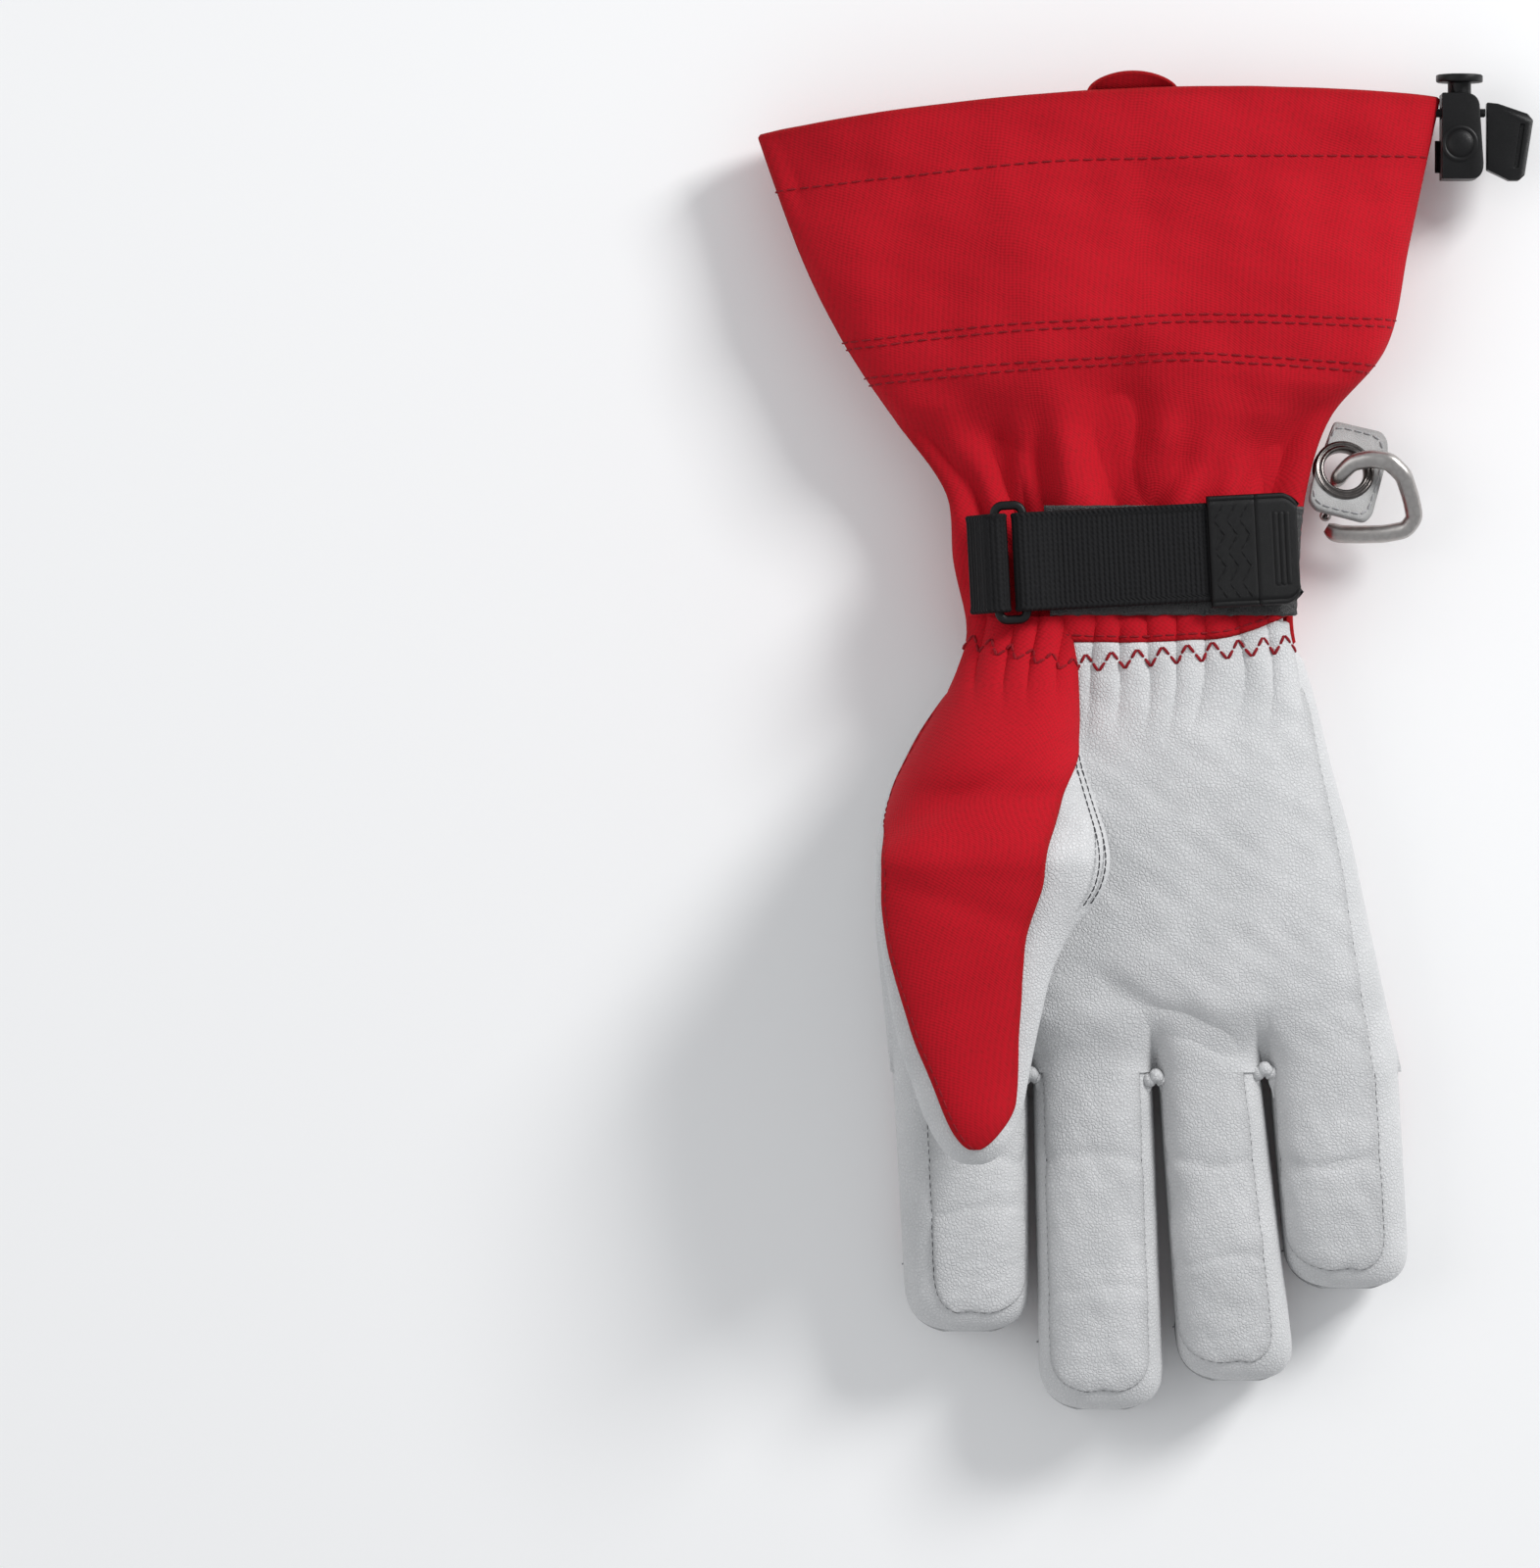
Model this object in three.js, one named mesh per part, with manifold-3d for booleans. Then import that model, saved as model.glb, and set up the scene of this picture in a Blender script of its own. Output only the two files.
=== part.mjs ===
// A right-hand ski glove, lying on the back of the hand with the palm up.
// Millimetres, +Z up. The fingers point along -Y, the gauntlet along +Y, the thumb lies on the -X side.
// The origin is on the surface that the glove lies on, under the middle of the back of the hand.

import * as THREE from "three";
import { mergeVertices } from "three/addons/utils/BufferGeometryUtils.js";
import Module from "manifold-3d";

const wasm = await Module();
wasm.setup();

// ---------------------------------------------------------------- driving dimensions

const LEATHER = 2.4; // leather or fabric with its padding
const LINING = 1.5;
const LINING_DEPTH = 4.4; // from the outer surface to the lining
const GAP = 0.4; // clearance between sewn neighbours
const FOLD_GAP = 4; // clearance where a rigid finger turns against the hand
const BACK_LEVEL = 1.8; // how high the back of the gauntlet lies, over the patch
const WALL_LOW = 8.6;
const WALL_HIGH = 21; // the side walls of the fingers stand between these heights
const COVER_CROWN = 3.9;
const HEM_WIDTH = 5;
const STRAP_TURN = THREE.MathUtils.degToRad(3);
const STRAP_WIDTH = 25;
const RING = { x: -35, y: 63.7, z: 31.6, long: 31.3, wide: 9.3, bar: 2.2 };
const EYELET = { x: 50.4, y: 87.4, z: 15, hole: 5.3, rim: 7.9 };
const TAB_LEAN = THREE.MathUtils.degToRad(-21);
const CARABINER_LEAN = THREE.MathUtils.degToRad(24);
const ROD = 2.0; // radius of the carabiner's rod
const LOCK = { x0: 75.4, x1: 86, y0: 162, y1: 184, z0: 8, z1: 19, boreZ: 14.6, cordY: 179 };
const CORD = 1.0; // radius of the elastic cord

// The outline of hand, wrist and gauntlet from the knuckles to the hem.
// left and right edge (x, y), half height, height of the middle, roundness of the section
const ROWS = [
  [-65.2, -66, 65.3, -66, 13.6, 14.6, 3.0],
  [-67.5, -45, 60.5, -45, 16.5, 15.6, 2.7],
  [-69.5, -25.8, 56.2, -25, 18, 16.5, 2.6],
  [-68, -5, 52, -5, 18, 16.5, 2.6],
  [-61, 13, 47, 13, 17, 15.6, 2.6],
  [-50.5, 30, 43, 30, 15, 15, 2.7],
  [-45.5, 46, 38, 46, 13.8, 15, 2.8],
  [-48.8, 64, 38.3, 64, 13.5, 15, 2.8],
  [-51, 82, 40.2, 82, 14, 15.4, 2.6],
  [-63.8, 100.3, 46.6, 101.5, 14.5, 15.8, 2.4],
  [-76.8, 119.5, 61, 120, 15, 15.6, 2.3],
  [-88.3, 142.8, 66.8, 146, 15, 15, 2.2],
  [-99.3, 173.3, 74.8, 183, 15, 13.8, 2.2],
];

// Each finger: the crotch end and the tip of its middle line, its width, and the line where it folds.
const FINGERS = {
  index: { base: [-47.5, -62], tip: [-45.5, -132], width: [34.5, 30.5], fold: -91, cap: 18 },
  middle: { base: [-13.8, -62], tip: [-11.2, -152], width: [30, 31.5], fold: -88, cap: 18 },
  ring: { base: [15.8, -62], tip: [23.6, -144.5], width: [25.5, 29.5], fold: -87, cap: 14.5 },
  little: { base: [47.7, -62], tip: [51.6, -121], width: [33, 31], fold: -83, cap: 10 },
};

// The thumb lies over the palm: left edge x, right edge x, y, half height, height of the middle
const THUMB = [
  [-66, -15.5, 5.5, 10.4, 46.6],
  [-69.2, -11, -10, 11, 47.2],
  [-69.5, -17, -25, 11, 47.2],
  [-68.4, -25.6, -40, 11, 47.2],
  [-63.8, -29.2, -58, 11, 47.2],
  [-58.6, -32.5, -73, 10.4, 47],
  [-53.8, -38, -83, 7.6, 47],
  [-49.2, -43.6, -87.6, 3.4, 47],
];

// ---------------------------------------------------------------- materials

const skin = (color, roughness, metalness = 0) =>
  new THREE.MeshStandardMaterial({ color, roughness, metalness });
const RED = () => skin(0xc01a28, 0.75);
const WHITE = () => skin(0xe2e2e1, 0.6);
const BLACK = () => skin(0x2c2c2e, 0.5);
const WEBBING = () => skin(0x1a1a1c, 0.85);
const LINER = () => skin(0x3a3a3e, 0.95);
const NICKEL = () => skin(0x5b554f, 0.25, 1);
const ALUMINIUM = () => skin(0xb9b4af, 0.35, 1);

const glove = new THREE.Group();
const add = (name, geometry, material, parent = glove) => {
  const mesh = new THREE.Mesh(geometry, material);
  mesh.name = name;
  parent.add(mesh);
  return mesh;
};

// ---------------------------------------------------------------- closed surfaces and booleans

const lerp = THREE.MathUtils.lerp;
const smooth = (x, low, high) => THREE.MathUtils.smoothstep(x, low, high);

// Turns a closed surface outside out, whichever way its grid was run through.
function closed(points, faces) {
  const [a, b, c] = [new THREE.Vector3(), new THREE.Vector3(), new THREE.Vector3()];
  let volume = 0;
  for (const [i, j, k] of faces) {
    a.fromArray(points[i]);
    b.fromArray(points[j]);
    c.fromArray(points[k]);
    volume += a.dot(b.cross(c));
  }
  const order = volume > 0 ? faces : faces.map(([i, j, k]) => [i, k, j]);
  const g = new THREE.BufferGeometry();
  g.setAttribute("position", new THREE.Float32BufferAttribute(points.flat(), 3));
  g.setIndex(order.flat());
  return g;
}

// A plate between two surfaces over the same parameters u, v in 0..1; ring closes it along u.
function plate(outer, inner, nu, nv, ring = false) {
  const points = [];
  const faces = [];
  const columns = ring ? nu : nu + 1;
  for (const surface of [outer, inner])
    for (let j = 0; j <= nv; j++)
      for (let i = 0; i < columns; i++) points.push(surface(i / nu, j / nv));
  const at = (side, i, j) => side * columns * (nv + 1) + j * columns + (i % columns);
  const quad = (a, b, c, d) => faces.push([a, b, c], [a, c, d]);
  for (let j = 0; j < nv; j++)
    for (let i = 0; i < nu; i++) {
      quad(at(0, i, j), at(0, i + 1, j), at(0, i + 1, j + 1), at(0, i, j + 1));
      quad(at(1, i, j), at(1, i, j + 1), at(1, i + 1, j + 1), at(1, i + 1, j));
    }
  for (let i = 0; i < nu; i++) {
    quad(at(0, i, 0), at(1, i, 0), at(1, i + 1, 0), at(0, i + 1, 0));
    quad(at(0, i, nv), at(0, i + 1, nv), at(1, i + 1, nv), at(1, i, nv));
  }
  for (let j = 0; j < nv && !ring; j++) {
    quad(at(0, 0, j), at(0, 0, j + 1), at(1, 0, j + 1), at(1, 0, j));
    quad(at(0, nu, j), at(1, nu, j), at(1, nu, j + 1), at(0, nu, j + 1));
  }
  return closed(points, faces);
}

function solidOf(geometry) {
  const bare = geometry.index ? geometry.toNonIndexed() : geometry.clone();
  bare.deleteAttribute("normal");
  bare.deleteAttribute("uv");
  const g = mergeVertices(bare, 1e-4);
  return new wasm.Manifold(
    new wasm.Mesh({
      numProp: 3,
      vertProperties: g.attributes.position.array,
      triVerts: new Uint32Array(g.index.array),
    }),
  );
}

function geometryOf(solid) {
  const mesh = solid.getMesh();
  const g = new THREE.BufferGeometry();
  g.setAttribute("position", new THREE.BufferAttribute(mesh.vertProperties, 3));
  g.setIndex(new THREE.BufferAttribute(mesh.triVerts, 1));
  return g;
}

const joined = (...parts) => geometryOf(parts.map(solidOf).reduce((a, b) => a.add(b)));
const cut = (body, ...tools) =>
  geometryOf(tools.map(solidOf).reduce((a, b) => a.subtract(b), solidOf(body)));

// A box from its low to its high corner.
function box(x0, y0, z0, x1, y1, z1) {
  const g = new THREE.BoxGeometry(x1 - x0, y1 - y0, z1 - z0);
  return g.translate((x0 + x1) / 2, (y0 + y1) / 2, (z0 + z1) / 2);
}

// A plan outline raised from z0 to z1.
function raised(shape, z0, z1, curveSegments = 6) {
  const g = new THREE.ExtrudeGeometry(shape, { depth: z1 - z0, bevelEnabled: false, curveSegments });
  return g.translate(0, 0, z0);
}

// A section drawn in x and z, carried along y from y0 to y1.
function carried(shape, y0, y1, curveSegments = 8) {
  const g = new THREE.ExtrudeGeometry(shape, { depth: y1 - y0, bevelEnabled: false, curveSegments });
  return g.rotateX(Math.PI / 2).translate(0, y1, 0);
}

const polygon = (points) => new THREE.Shape(points.map(([x, y]) => new THREE.Vector2(x, y)));

// ---------------------------------------------------------------- hand, wrist and gauntlet

// Catmull-Rom through the rows; v is 0 at the knuckles and 1 at the hem.
function rowAt(v) {
  const s = THREE.MathUtils.clamp(v, 0, 1) * (ROWS.length - 1);
  const i = Math.min(Math.floor(s), ROWS.length - 2);
  const t = s - i;
  const key = (k) => ROWS[THREE.MathUtils.clamp(k, 0, ROWS.length - 1)];
  return ROWS[0].map((_, c) => {
    const [a, b, d, e] = [key(i - 1)[c], key(i)[c], key(i + 1)[c], key(i + 2)[c]];
    const bend = (2 * a - 5 * b + 4 * d - e) * t * t;
    const twist = (3 * b - a - 3 * d + e) * t ** 3;
    return 0.5 * (2 * b + (d - a) * t + bend + twist);
  });
}

const rowNumber = (n) => n / (ROWS.length - 1);
const signedPower = (x, p) => Math.sign(x) * Math.abs(x) ** p;

// A point of the body's shell at a depth under its outer surface.
// Angle 0 is the little finger's edge, 90 the palm, 180 the thumb's edge, 270 the back.
function shell(angle, v, depth, level = 0) {
  const [lx, ly, rx, ry, half, middle, power] = rowAt(v);
  const a = THREE.MathUtils.degToRad(angle);
  const across = signedPower(Math.cos(a), 2 / power);
  const up = signedPower(Math.sin(a), 2 / power);
  const share = 0.5 + 0.5 * across;
  const inset = 1 - depth / ((rx - lx) / 2);
  const bow = 6 * smooth(v, rowNumber(8), 1) * (1 - across * across);
  const x = (lx + rx) / 2 + (across * inset * (rx - lx)) / 2;
  const y = lerp(ly, ry, share) + bow;
  const z = Math.max(middle + (half - depth) * up, level + Math.max(depth, 0));
  return [x, y, depth < 0 ? Math.max(middle + (half - depth) * up, level + depth) : z];
}

function panel(from, to, v0, v1, nu, nv, { depth = 0, thick = LEATHER, level = 0 } = {}) {
  const at = (d) => (u, v) => shell(lerp(from, to, u), lerp(v0, v1, v), d, level);
  return plate(at(depth), at(depth + thick), nu, nv);
}

function tube(v0, v1, nu, nv, depth, thick, level) {
  const at = (d) => (u, v) => shell(360 * u, lerp(v0, v1, v), d, level);
  return plate(at(depth), at(depth + thick), nu, nv, true);
}

const WRIST_LOW = rowNumber(6);
const WRIST_HIGH = rowNumber(8);
const SEAM = rowNumber(0.05); // sewn neighbours end this far from each other
const HEM_START = 1 - HEM_WIDTH / 12 / 12;

// Where the hand's top lies over a point of the plan, between the knuckles and the wrist.
function handTop(x, y) {
  let [low, high] = [0, rowNumber(8)];
  for (let k = 0; k < 20; k++) {
    const v = (low + high) / 2;
    if (rowAt(v)[1] < y) low = v;
    else high = v;
  }
  const [lx, , rx, , half, middle, power] = rowAt(low);
  const a = Math.min(Math.abs((x - (lx + rx) / 2) / ((rx - lx) / 2)), 1);
  return middle + half * (1 - a ** power) ** (1 / power);
}

// ---------------------------------------------------------------- fingers

// Middle line and half width of a finger at height y; the tip closes as a rounded end.
function fingerAt(f, y) {
  const t = (y - f.base[1]) / (f.tip[1] - f.base[1]);
  const length = f.base[1] - f.tip[1];
  const width = lerp(f.width[0], f.width[1], t) / 2;
  const end = THREE.MathUtils.clamp(1 - (1 - t) / (width / length), 0, 1);
  return [lerp(f.base[0], f.tip[0], t), width * (1 - end ** 2.6) ** (1 / 2.6)];
}

// The padded cover on the palm side (up = 1) or on the back (up = -1).
function cover(f, y0, y1, up, nv, inset = 0, lift = 0, thick = 2.2) {
  const edge = up > 0 ? WALL_HIGH + GAP : WALL_LOW - GAP;
  const at = (offset) => (u, v) => {
    const y = lerp(y0, y1, 1 - (1 - v) ** 1.5);
    const [middle, half] = fingerAt(f, y);
    const a = 2 * u - 1;
    const end = smooth(y - f.tip[1], 0, 12);
    const share = (Math.abs(a) * (half - inset)) / half;
    const crown = COVER_CROWN * (1 - share ** 2.4) * (0.35 + 0.65 * end);
    return [middle + a * (half - inset), y, edge + up * (crown + lift + offset)];
  };
  return plate(at(thick), at(0), 6, nv);
}

// The side wall of a finger from its fold, round the tip and back.
function wallOf(f, start) {
  const edge = (inset, side, y) => {
    const [middle, half] = fingerAt(f, y);
    return [middle + side * Math.max(half - inset, 0.6), y];
  };
  const run = (inset, end) =>
    [0, 0.3, 0.55, 0.72, 0.84, 0.92, 0.97, 1].map((s) => [inset, lerp(start, end, s)]);
  const outer = run(0, f.tip[1] + 0.25);
  const inner = run(LEATHER, f.tip[1] + LEATHER + 0.25);
  const trace = (list, side) => list.map(([inset, y]) => edge(inset, side, y));
  return raised(
    polygon([
      ...trace(outer, -1),
      ...trace(outer, 1).reverse(),
      ...trace(inner, 1),
      ...trace(inner, -1).reverse(),
    ]),
    WALL_LOW,
    WALL_HIGH,
  );
}

function fingerLining(f, start) {
  const at = (depth) => (u, v) => {
    const y = lerp(start, f.tip[1] + 9, v);
    const [middle, half] = fingerAt(f, y);
    const a = 2 * Math.PI * u;
    const across = signedPower(Math.cos(a), 0.7) * (half - depth);
    const up = signedPower(Math.sin(a), 0.7) * (8.6 - depth + LINING_DEPTH);
    return [middle + across, y, 14.5 + up];
  };
  return plate(at(LINING_DEPTH), at(LINING_DEPTH + LINING), 8, 2, true);
}

for (const [name, f] of Object.entries(FINGERS)) {
  const start = f.fold - FOLD_GAP;
  const end = f.tip[1] + 0.7;
  add(name + "_palm_piece", cover(f, start, end, 1, 5), WHITE());
  add(name + "_back_piece", cover(f, start, end, -1, 5), RED());
  add(name + "_side_wall", wallOf(f, start), WHITE());
  add(name + "_tip_cap", cover(f, f.tip[1] + f.cap, end, -1, 3, 1, 2.2 + 2 * GAP, 0.9), WHITE());
  add(name + "_lining", fingerLining(f, start), LINER());
}

// A loop of leather across the back of the little finger.
const fingerLoop = cover(FINGERS.little, -90, -109.5, -1, 2, 1.5, 2.2 + 2 * GAP, 0.9);
add("little_finger_loop", fingerLoop, WHITE());

// The U of leather between two fingers, from one fold round the crotch to the other.
function fourchette(left, right) {
  const crotch = -70.5;
  const side = (f, s, y, inset) => {
    const [middle, half] = fingerAt(f, y);
    return [middle + s * (half - inset), y];
  };
  const spread = 1.9;
  return raised(
    polygon([
      side(left, 1, left.fold + GAP, 0),
      side(left, 1, crotch, 0),
      side(right, -1, crotch, 0),
      side(right, -1, right.fold + GAP, 0),
      side(right, -1, right.fold + GAP, spread),
      side(right, -1, crotch + spread, spread),
      side(left, 1, crotch + spread, spread),
      side(left, 1, left.fold + GAP, spread),
    ]),
    WALL_LOW,
    WALL_HIGH,
  );
}

const names = Object.keys(FINGERS);
for (let i = 0; i < 3; i++) {
  const [a, b] = [names[i], names[i + 1]];
  add("fourchette_" + a + "_" + b, fourchette(FINGERS[a], FINGERS[b]), WHITE());
}

// ---------------------------------------------------------------- panels of the hand

const baseCovers = (up) => names.map((n) => cover(FINGERS[n], -64.6, FINGERS[n].fold, up, 2));
const HAND_TOP_ROW = WRIST_LOW - SEAM;
const SIDE_START = rowNumber(0.12);

// The hand's palm side is open under the arch of the thumb's root, where the thumb goes in.
const THUMB_WAY = box(-50, 12, 18, -28, 30, 45);
const palm = joined(panel(40, 138, 0, HAND_TOP_ROW, 10, 8), ...baseCovers(1));
add("palm_panel", cut(palm, THUMB_WAY), WHITE());
add("hand_back_panel", joined(panel(222, 320, 0, HAND_TOP_ROW, 10, 8), ...baseCovers(-1)), RED());

// The walls along the two outer edges run on to the folds of the index and the little finger.
function edgeWall(f, side) {
  const at = (inset, y) => {
    const [middle, half] = fingerAt(f, y);
    return [middle + side * (half - inset), y];
  };
  const outline = [at(0, -60), at(0, f.fold), at(LEATHER, f.fold), at(LEATHER, -60)];
  return raised(polygon(side > 0 ? outline : outline.reverse()), WALL_LOW, WALL_HIGH);
}

const trimAbove = (y) => box(-120, y, -5, 120, 200, 80);
const outerWall = cut(edgeWall(FINGERS.little, 1), trimAbove(-61));
const indexWall = cut(edgeWall(FINGERS.index, -1), trimAbove(-61));
const outerPanel = panel(-38, 38, SIDE_START, HAND_TOP_ROW, 6, 8);
const indexPanel = panel(140, 220, SIDE_START, HAND_TOP_ROW, 6, 8);
add("outer_side_panel", joined(outerPanel, outerWall), WHITE());
add("index_side_panel", cut(joined(indexPanel, indexWall), THUMB_WAY), WHITE());

// ---------------------------------------------------------------- thumb

// A ring of the thumb: angle as in shell().
function thumbShell(angle, v, depth) {
  const s = v * (THUMB.length - 1);
  const i = Math.min(Math.floor(s), THUMB.length - 2);
  const [lx, rx, y, half, middle] = THUMB[i].map((c, k) => lerp(c, THUMB[i + 1][k], s - i));
  const a = THREE.MathUtils.degToRad(angle);
  const d = Math.min(depth, half * 0.75);
  const across = signedPower(Math.cos(a), 0.8) * Math.max((rx - lx) / 2 - d, 0.4);
  return [(lx + rx) / 2 + across, y, middle + signedPower(Math.sin(a), 0.8) * (half - d)];
}

function thumbPanel(from, to, depth = 0, thick = LEATHER, v1 = 1) {
  const at = (d) => (u, v) => thumbShell(lerp(from, to, u), v * v1, d);
  return plate(at(depth), at(depth + thick), 9, 7, to - from === 360);
}

add("thumb_back_piece", thumbPanel(32, 172), RED());
add("thumb_leather", thumbPanel(174, 390), WHITE());
add("thumb_lining", thumbPanel(0, 360, 3.6, LINING, 0.72), LINER());

// The arch over the root of the thumb rises out of the wrist; its right flank is the leather gusset.
function thumbRoot(u0, u1) {
  const at = (offset) => (u, v) => {
    const a = lerp(u0, u1, u);
    const y = lerp(44, 9.5, v);
    const rise = smooth(v, 0, 1);
    const middle = lerp(-28.5, -41, v);
    const half = lerp(9.5, 25, v);
    const x = middle + a * half;
    const arch = 20.5 * rise * Math.sqrt(Math.max(1 - a * a, 0));
    return [x, y, handTop(x, y) * (1 - rise) + 34.4 * rise + 0.8 + arch + offset];
  };
  return plate(at(LEATHER), at(0), 7, 5);
}

add("thumb_root_panel", thumbRoot(-1, 0.7), RED());
add("thumb_gusset", thumbRoot(0.73, 1), WHITE());

// ---------------------------------------------------------------- wrist and gauntlet

const LOCK_HOLE = box(60, 176.4, 11.2, 90, 181.6, 18);
const GAUNTLET_LOW = WRIST_HIGH + SEAM;
const onBack = { level: BACK_LEVEL };

add("wrist_palm_panel", panel(2, 178, WRIST_LOW, WRIST_HIGH, 14, 2), RED());
add("wrist_back_panel", panel(182, 358, WRIST_LOW, WRIST_HIGH, 14, 2, onBack), RED());
const elastic = { depth: LEATHER + 0.2, thick: 0.6, level: BACK_LEVEL };
const elasticEnd = WRIST_LOW + rowNumber(0.55);
add("wrist_elastic", panel(205, 335, WRIST_LOW, elasticEnd, 9, 1, elastic), BLACK());

const palmSide = panel(2, 178, GAUNTLET_LOW, HEM_START, 16, 5);
const backSide = panel(182, 358, GAUNTLET_LOW, HEM_START, 16, 5, onBack);
add("gauntlet_palm_panel", cut(palmSide, LOCK_HOLE), RED());
add("gauntlet_back_panel", cut(backSide, LOCK_HOLE), RED());
add("hem_binding", cut(tube(HEM_START + 0.003, 1, 32, 1, -0.3, 3, 0.3), LOCK_HOLE), RED());
const liningTube = tube(rowNumber(0.3), rowNumber(11.4), 16, 10, LINING_DEPTH, LINING, BACK_LEVEL);
add("glove_lining", cut(liningTube, THUMB_WAY), LINER());

// A ribbon loop to hang the glove by, folded over the edge of the hem.
const ribbon = polygon([[-15, 186], [-14, 189], [6.5, 189], [7.5, 186]]);
add("hanging_loop", raised(ribbon, 26.2, 27.6), RED());

// The patch on the back of the wrist: a five-sided leather piece with a woven field on it.
const patchOutline = [[-2, 68], [13.3, 83.8], [12.8, 109.8], [-22.3, 108], [-20, 83]];
const patchMiddle = [-3.5, 94];
const FIELD_SHARE = 0.72; // size of the woven field beside the leather
const fieldOutline = patchOutline.map(([x, y]) => [
  lerp(patchMiddle[0], x, FIELD_SHARE),
  lerp(patchMiddle[1], y, FIELD_SHARE),
]);
add("patch_leather", raised(polygon(patchOutline), 0.75, 1.5), WHITE());
add("patch_woven_field", raised(polygon(fieldOutline), 0.1, 0.45), BLACK());

// ---------------------------------------------------------------- wrist strap

const strap = new THREE.Group();
strap.position.set(RING.x, RING.y, 0);
strap.rotation.z = STRAP_TURN;
glove.add(strap);

// The strap lies a little flatter than the wrist below it; x is measured from the ring.
const strapUnderside = (x) => 15.9 + 15.4 * (1 - Math.abs((x + RING.x + 5) / 60) ** 2.8) ** (1 / 2.8);
const barX = RING.wide / 2 - RING.bar / 2;

function strapStrip(x0, x1, low, high, y0, y1, nu) {
  const at = (offset) => (u, v) => {
    const x = lerp(x0, x1, u);
    return [x, lerp(y0, y1, v), strapUnderside(x) + offset];
  };
  return plate(at(high), at(low), nu, 1);
}

// The webbing's eye round a bar of the ring.
function eye(x, outer, y0, y1) {
  const section = new THREE.Shape().absarc(x, RING.z, outer, 0, 2 * Math.PI);
  section.holes.push(new THREE.Path().absarc(x, RING.z, 1.9, 0, 2 * Math.PI, true));
  return carried(section, y0, y1, 10);
}

const reach = STRAP_WIDTH / 2;
const WEBBING_END = 50;
const TAB_END = 73.6;
const flap = strapStrip(barX + 2.4, WEBBING_END, 0, 1.6, -reach, reach, 12);
add("strap_webbing", joined(eye(barX, 3.3, -reach, reach), flap), WEBBING(), strap);

const tabBody = strapStrip(WEBBING_END + GAP, TAB_END, -0.2, 3, -14.2, 14.2, 6);
const tabGroove = box(62.4, -11, 30.5, 63, 11, 36);
add("strap_pull_tab", cut(tabBody, tabGroove), BLACK(), strap);
add("strap_hook_patch", strapStrip(52, 72, -1, -0.5, -reach, reach, 5), BLACK(), strap);

const ringOutline = new THREE.Shape();
const [rw, rl, rr] = [RING.wide / 2, RING.long / 2, 1.6];
ringOutline.moveTo(-rw + rr, -rl).lineTo(rw - rr, -rl);
ringOutline.absarc(rw - rr, -rl + rr, rr, -Math.PI / 2, 0);
ringOutline.lineTo(rw, rl - rr).absarc(rw - rr, rl - rr, rr, 0, Math.PI / 2);
ringOutline.lineTo(-rw + rr, rl).absarc(-rw + rr, rl - rr, rr, Math.PI / 2, Math.PI);
ringOutline.lineTo(-rw, -rl + rr).absarc(-rw + rr, -rl + rr, rr, Math.PI, 1.5 * Math.PI);
const [ww, wl] = [rw - RING.bar, rl - RING.bar];
ringOutline.holes.push(polygon([[-ww, -wl], [-ww, wl], [ww, wl], [ww, -wl]]));
add("strap_ring", raised(ringOutline, RING.z - 1.1, RING.z + 1.1, 3), BLACK(), strap);

const keeperTail = polygon([[-6, 29], [-6, 31.6], [-8.2, 30.6], [-10.6, 27.4], [-10, 26.2], [-8, 28]]);
const keeper = joined(eye(-barX, 3.1, -reach, reach), carried(keeperTail, -reach, reach));
add("strap_keeper", keeper, WEBBING(), strap);

const loopPad = { depth: -1.5, thick: 1.1 };
const PAD = [WRIST_LOW + rowNumber(0.3), WRIST_HIGH - rowNumber(0.25)];
add("strap_loop_pad", panel(14, 110, PAD[0], PAD[1], 10, 2, loopPad), WEBBING());

// ---------------------------------------------------------------- eyelet tab and carabiner

// Both lean about one line through the eyelet: the tab one way, the carabiner the other,
// so that its rod passes.
const RISE = Math.atan2(0.866, 0.5);

// A group whose flat plan turns up by an angle towards the direction RISE, about a point of the plan.
function leaning(x, y, z, angle) {
  const turned = new THREE.Group();
  turned.position.set(x, y, z);
  turned.rotation.order = "ZYX";
  turned.rotation.set(0, -angle, RISE);
  glove.add(turned);
  return turned;
}

// Plan points as seen in the leaning group, so that they stand over their own places once it has turned.
const inLean = (x0, y0, angle) => ([x, y]) => {
  const [dx, dy] = [x - x0, y - y0];
  const along = (dx * Math.cos(RISE) + dy * Math.sin(RISE)) / Math.cos(angle);
  return [along, -dx * Math.sin(RISE) + dy * Math.cos(RISE)];
};

const tabLean = leaning(EYELET.x, EYELET.y, EYELET.z, TAB_LEAN);
const tabPlan = [
  [48.3, 100.4],
  [60.6, 97.6],
  [62, 95.4],
  [62, 91.5],
  [57.6, 76],
  [55.6, 74.2],
  [43, 77.4],
  [41.3, 79.8],
  [42.3, 85],
];
const tabShape = polygon(tabPlan.map(inLean(EYELET.x, EYELET.y, TAB_LEAN)));
const holeRadius = EYELET.hole + 0.65;
const tabHole = new THREE.CylinderGeometry(holeRadius, holeRadius, 4, 28).rotateX(Math.PI / 2);
add("eyelet_tab", cut(raised(tabShape, -0.7, 0.7), tabHole), WHITE(), tabLean);

const { hole, rim } = EYELET;
const eyeletProfile = [[hole, -1.4], [rim - 0.4, -1.4], [rim, -1], [hole + 0.35, -1]];
const underside = eyeletProfile.map(([r, z]) => [r, -z]).reverse();
const eyeletSection = [...eyeletProfile, ...underside, eyeletProfile[0]];
const eyelet = new THREE.LatheGeometry(eyeletSection.map(([r, z]) => new THREE.Vector2(r, z)), 20);
add("eyelet", eyelet.rotateX(Math.PI / 2), NICKEL(), tabLean);

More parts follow.
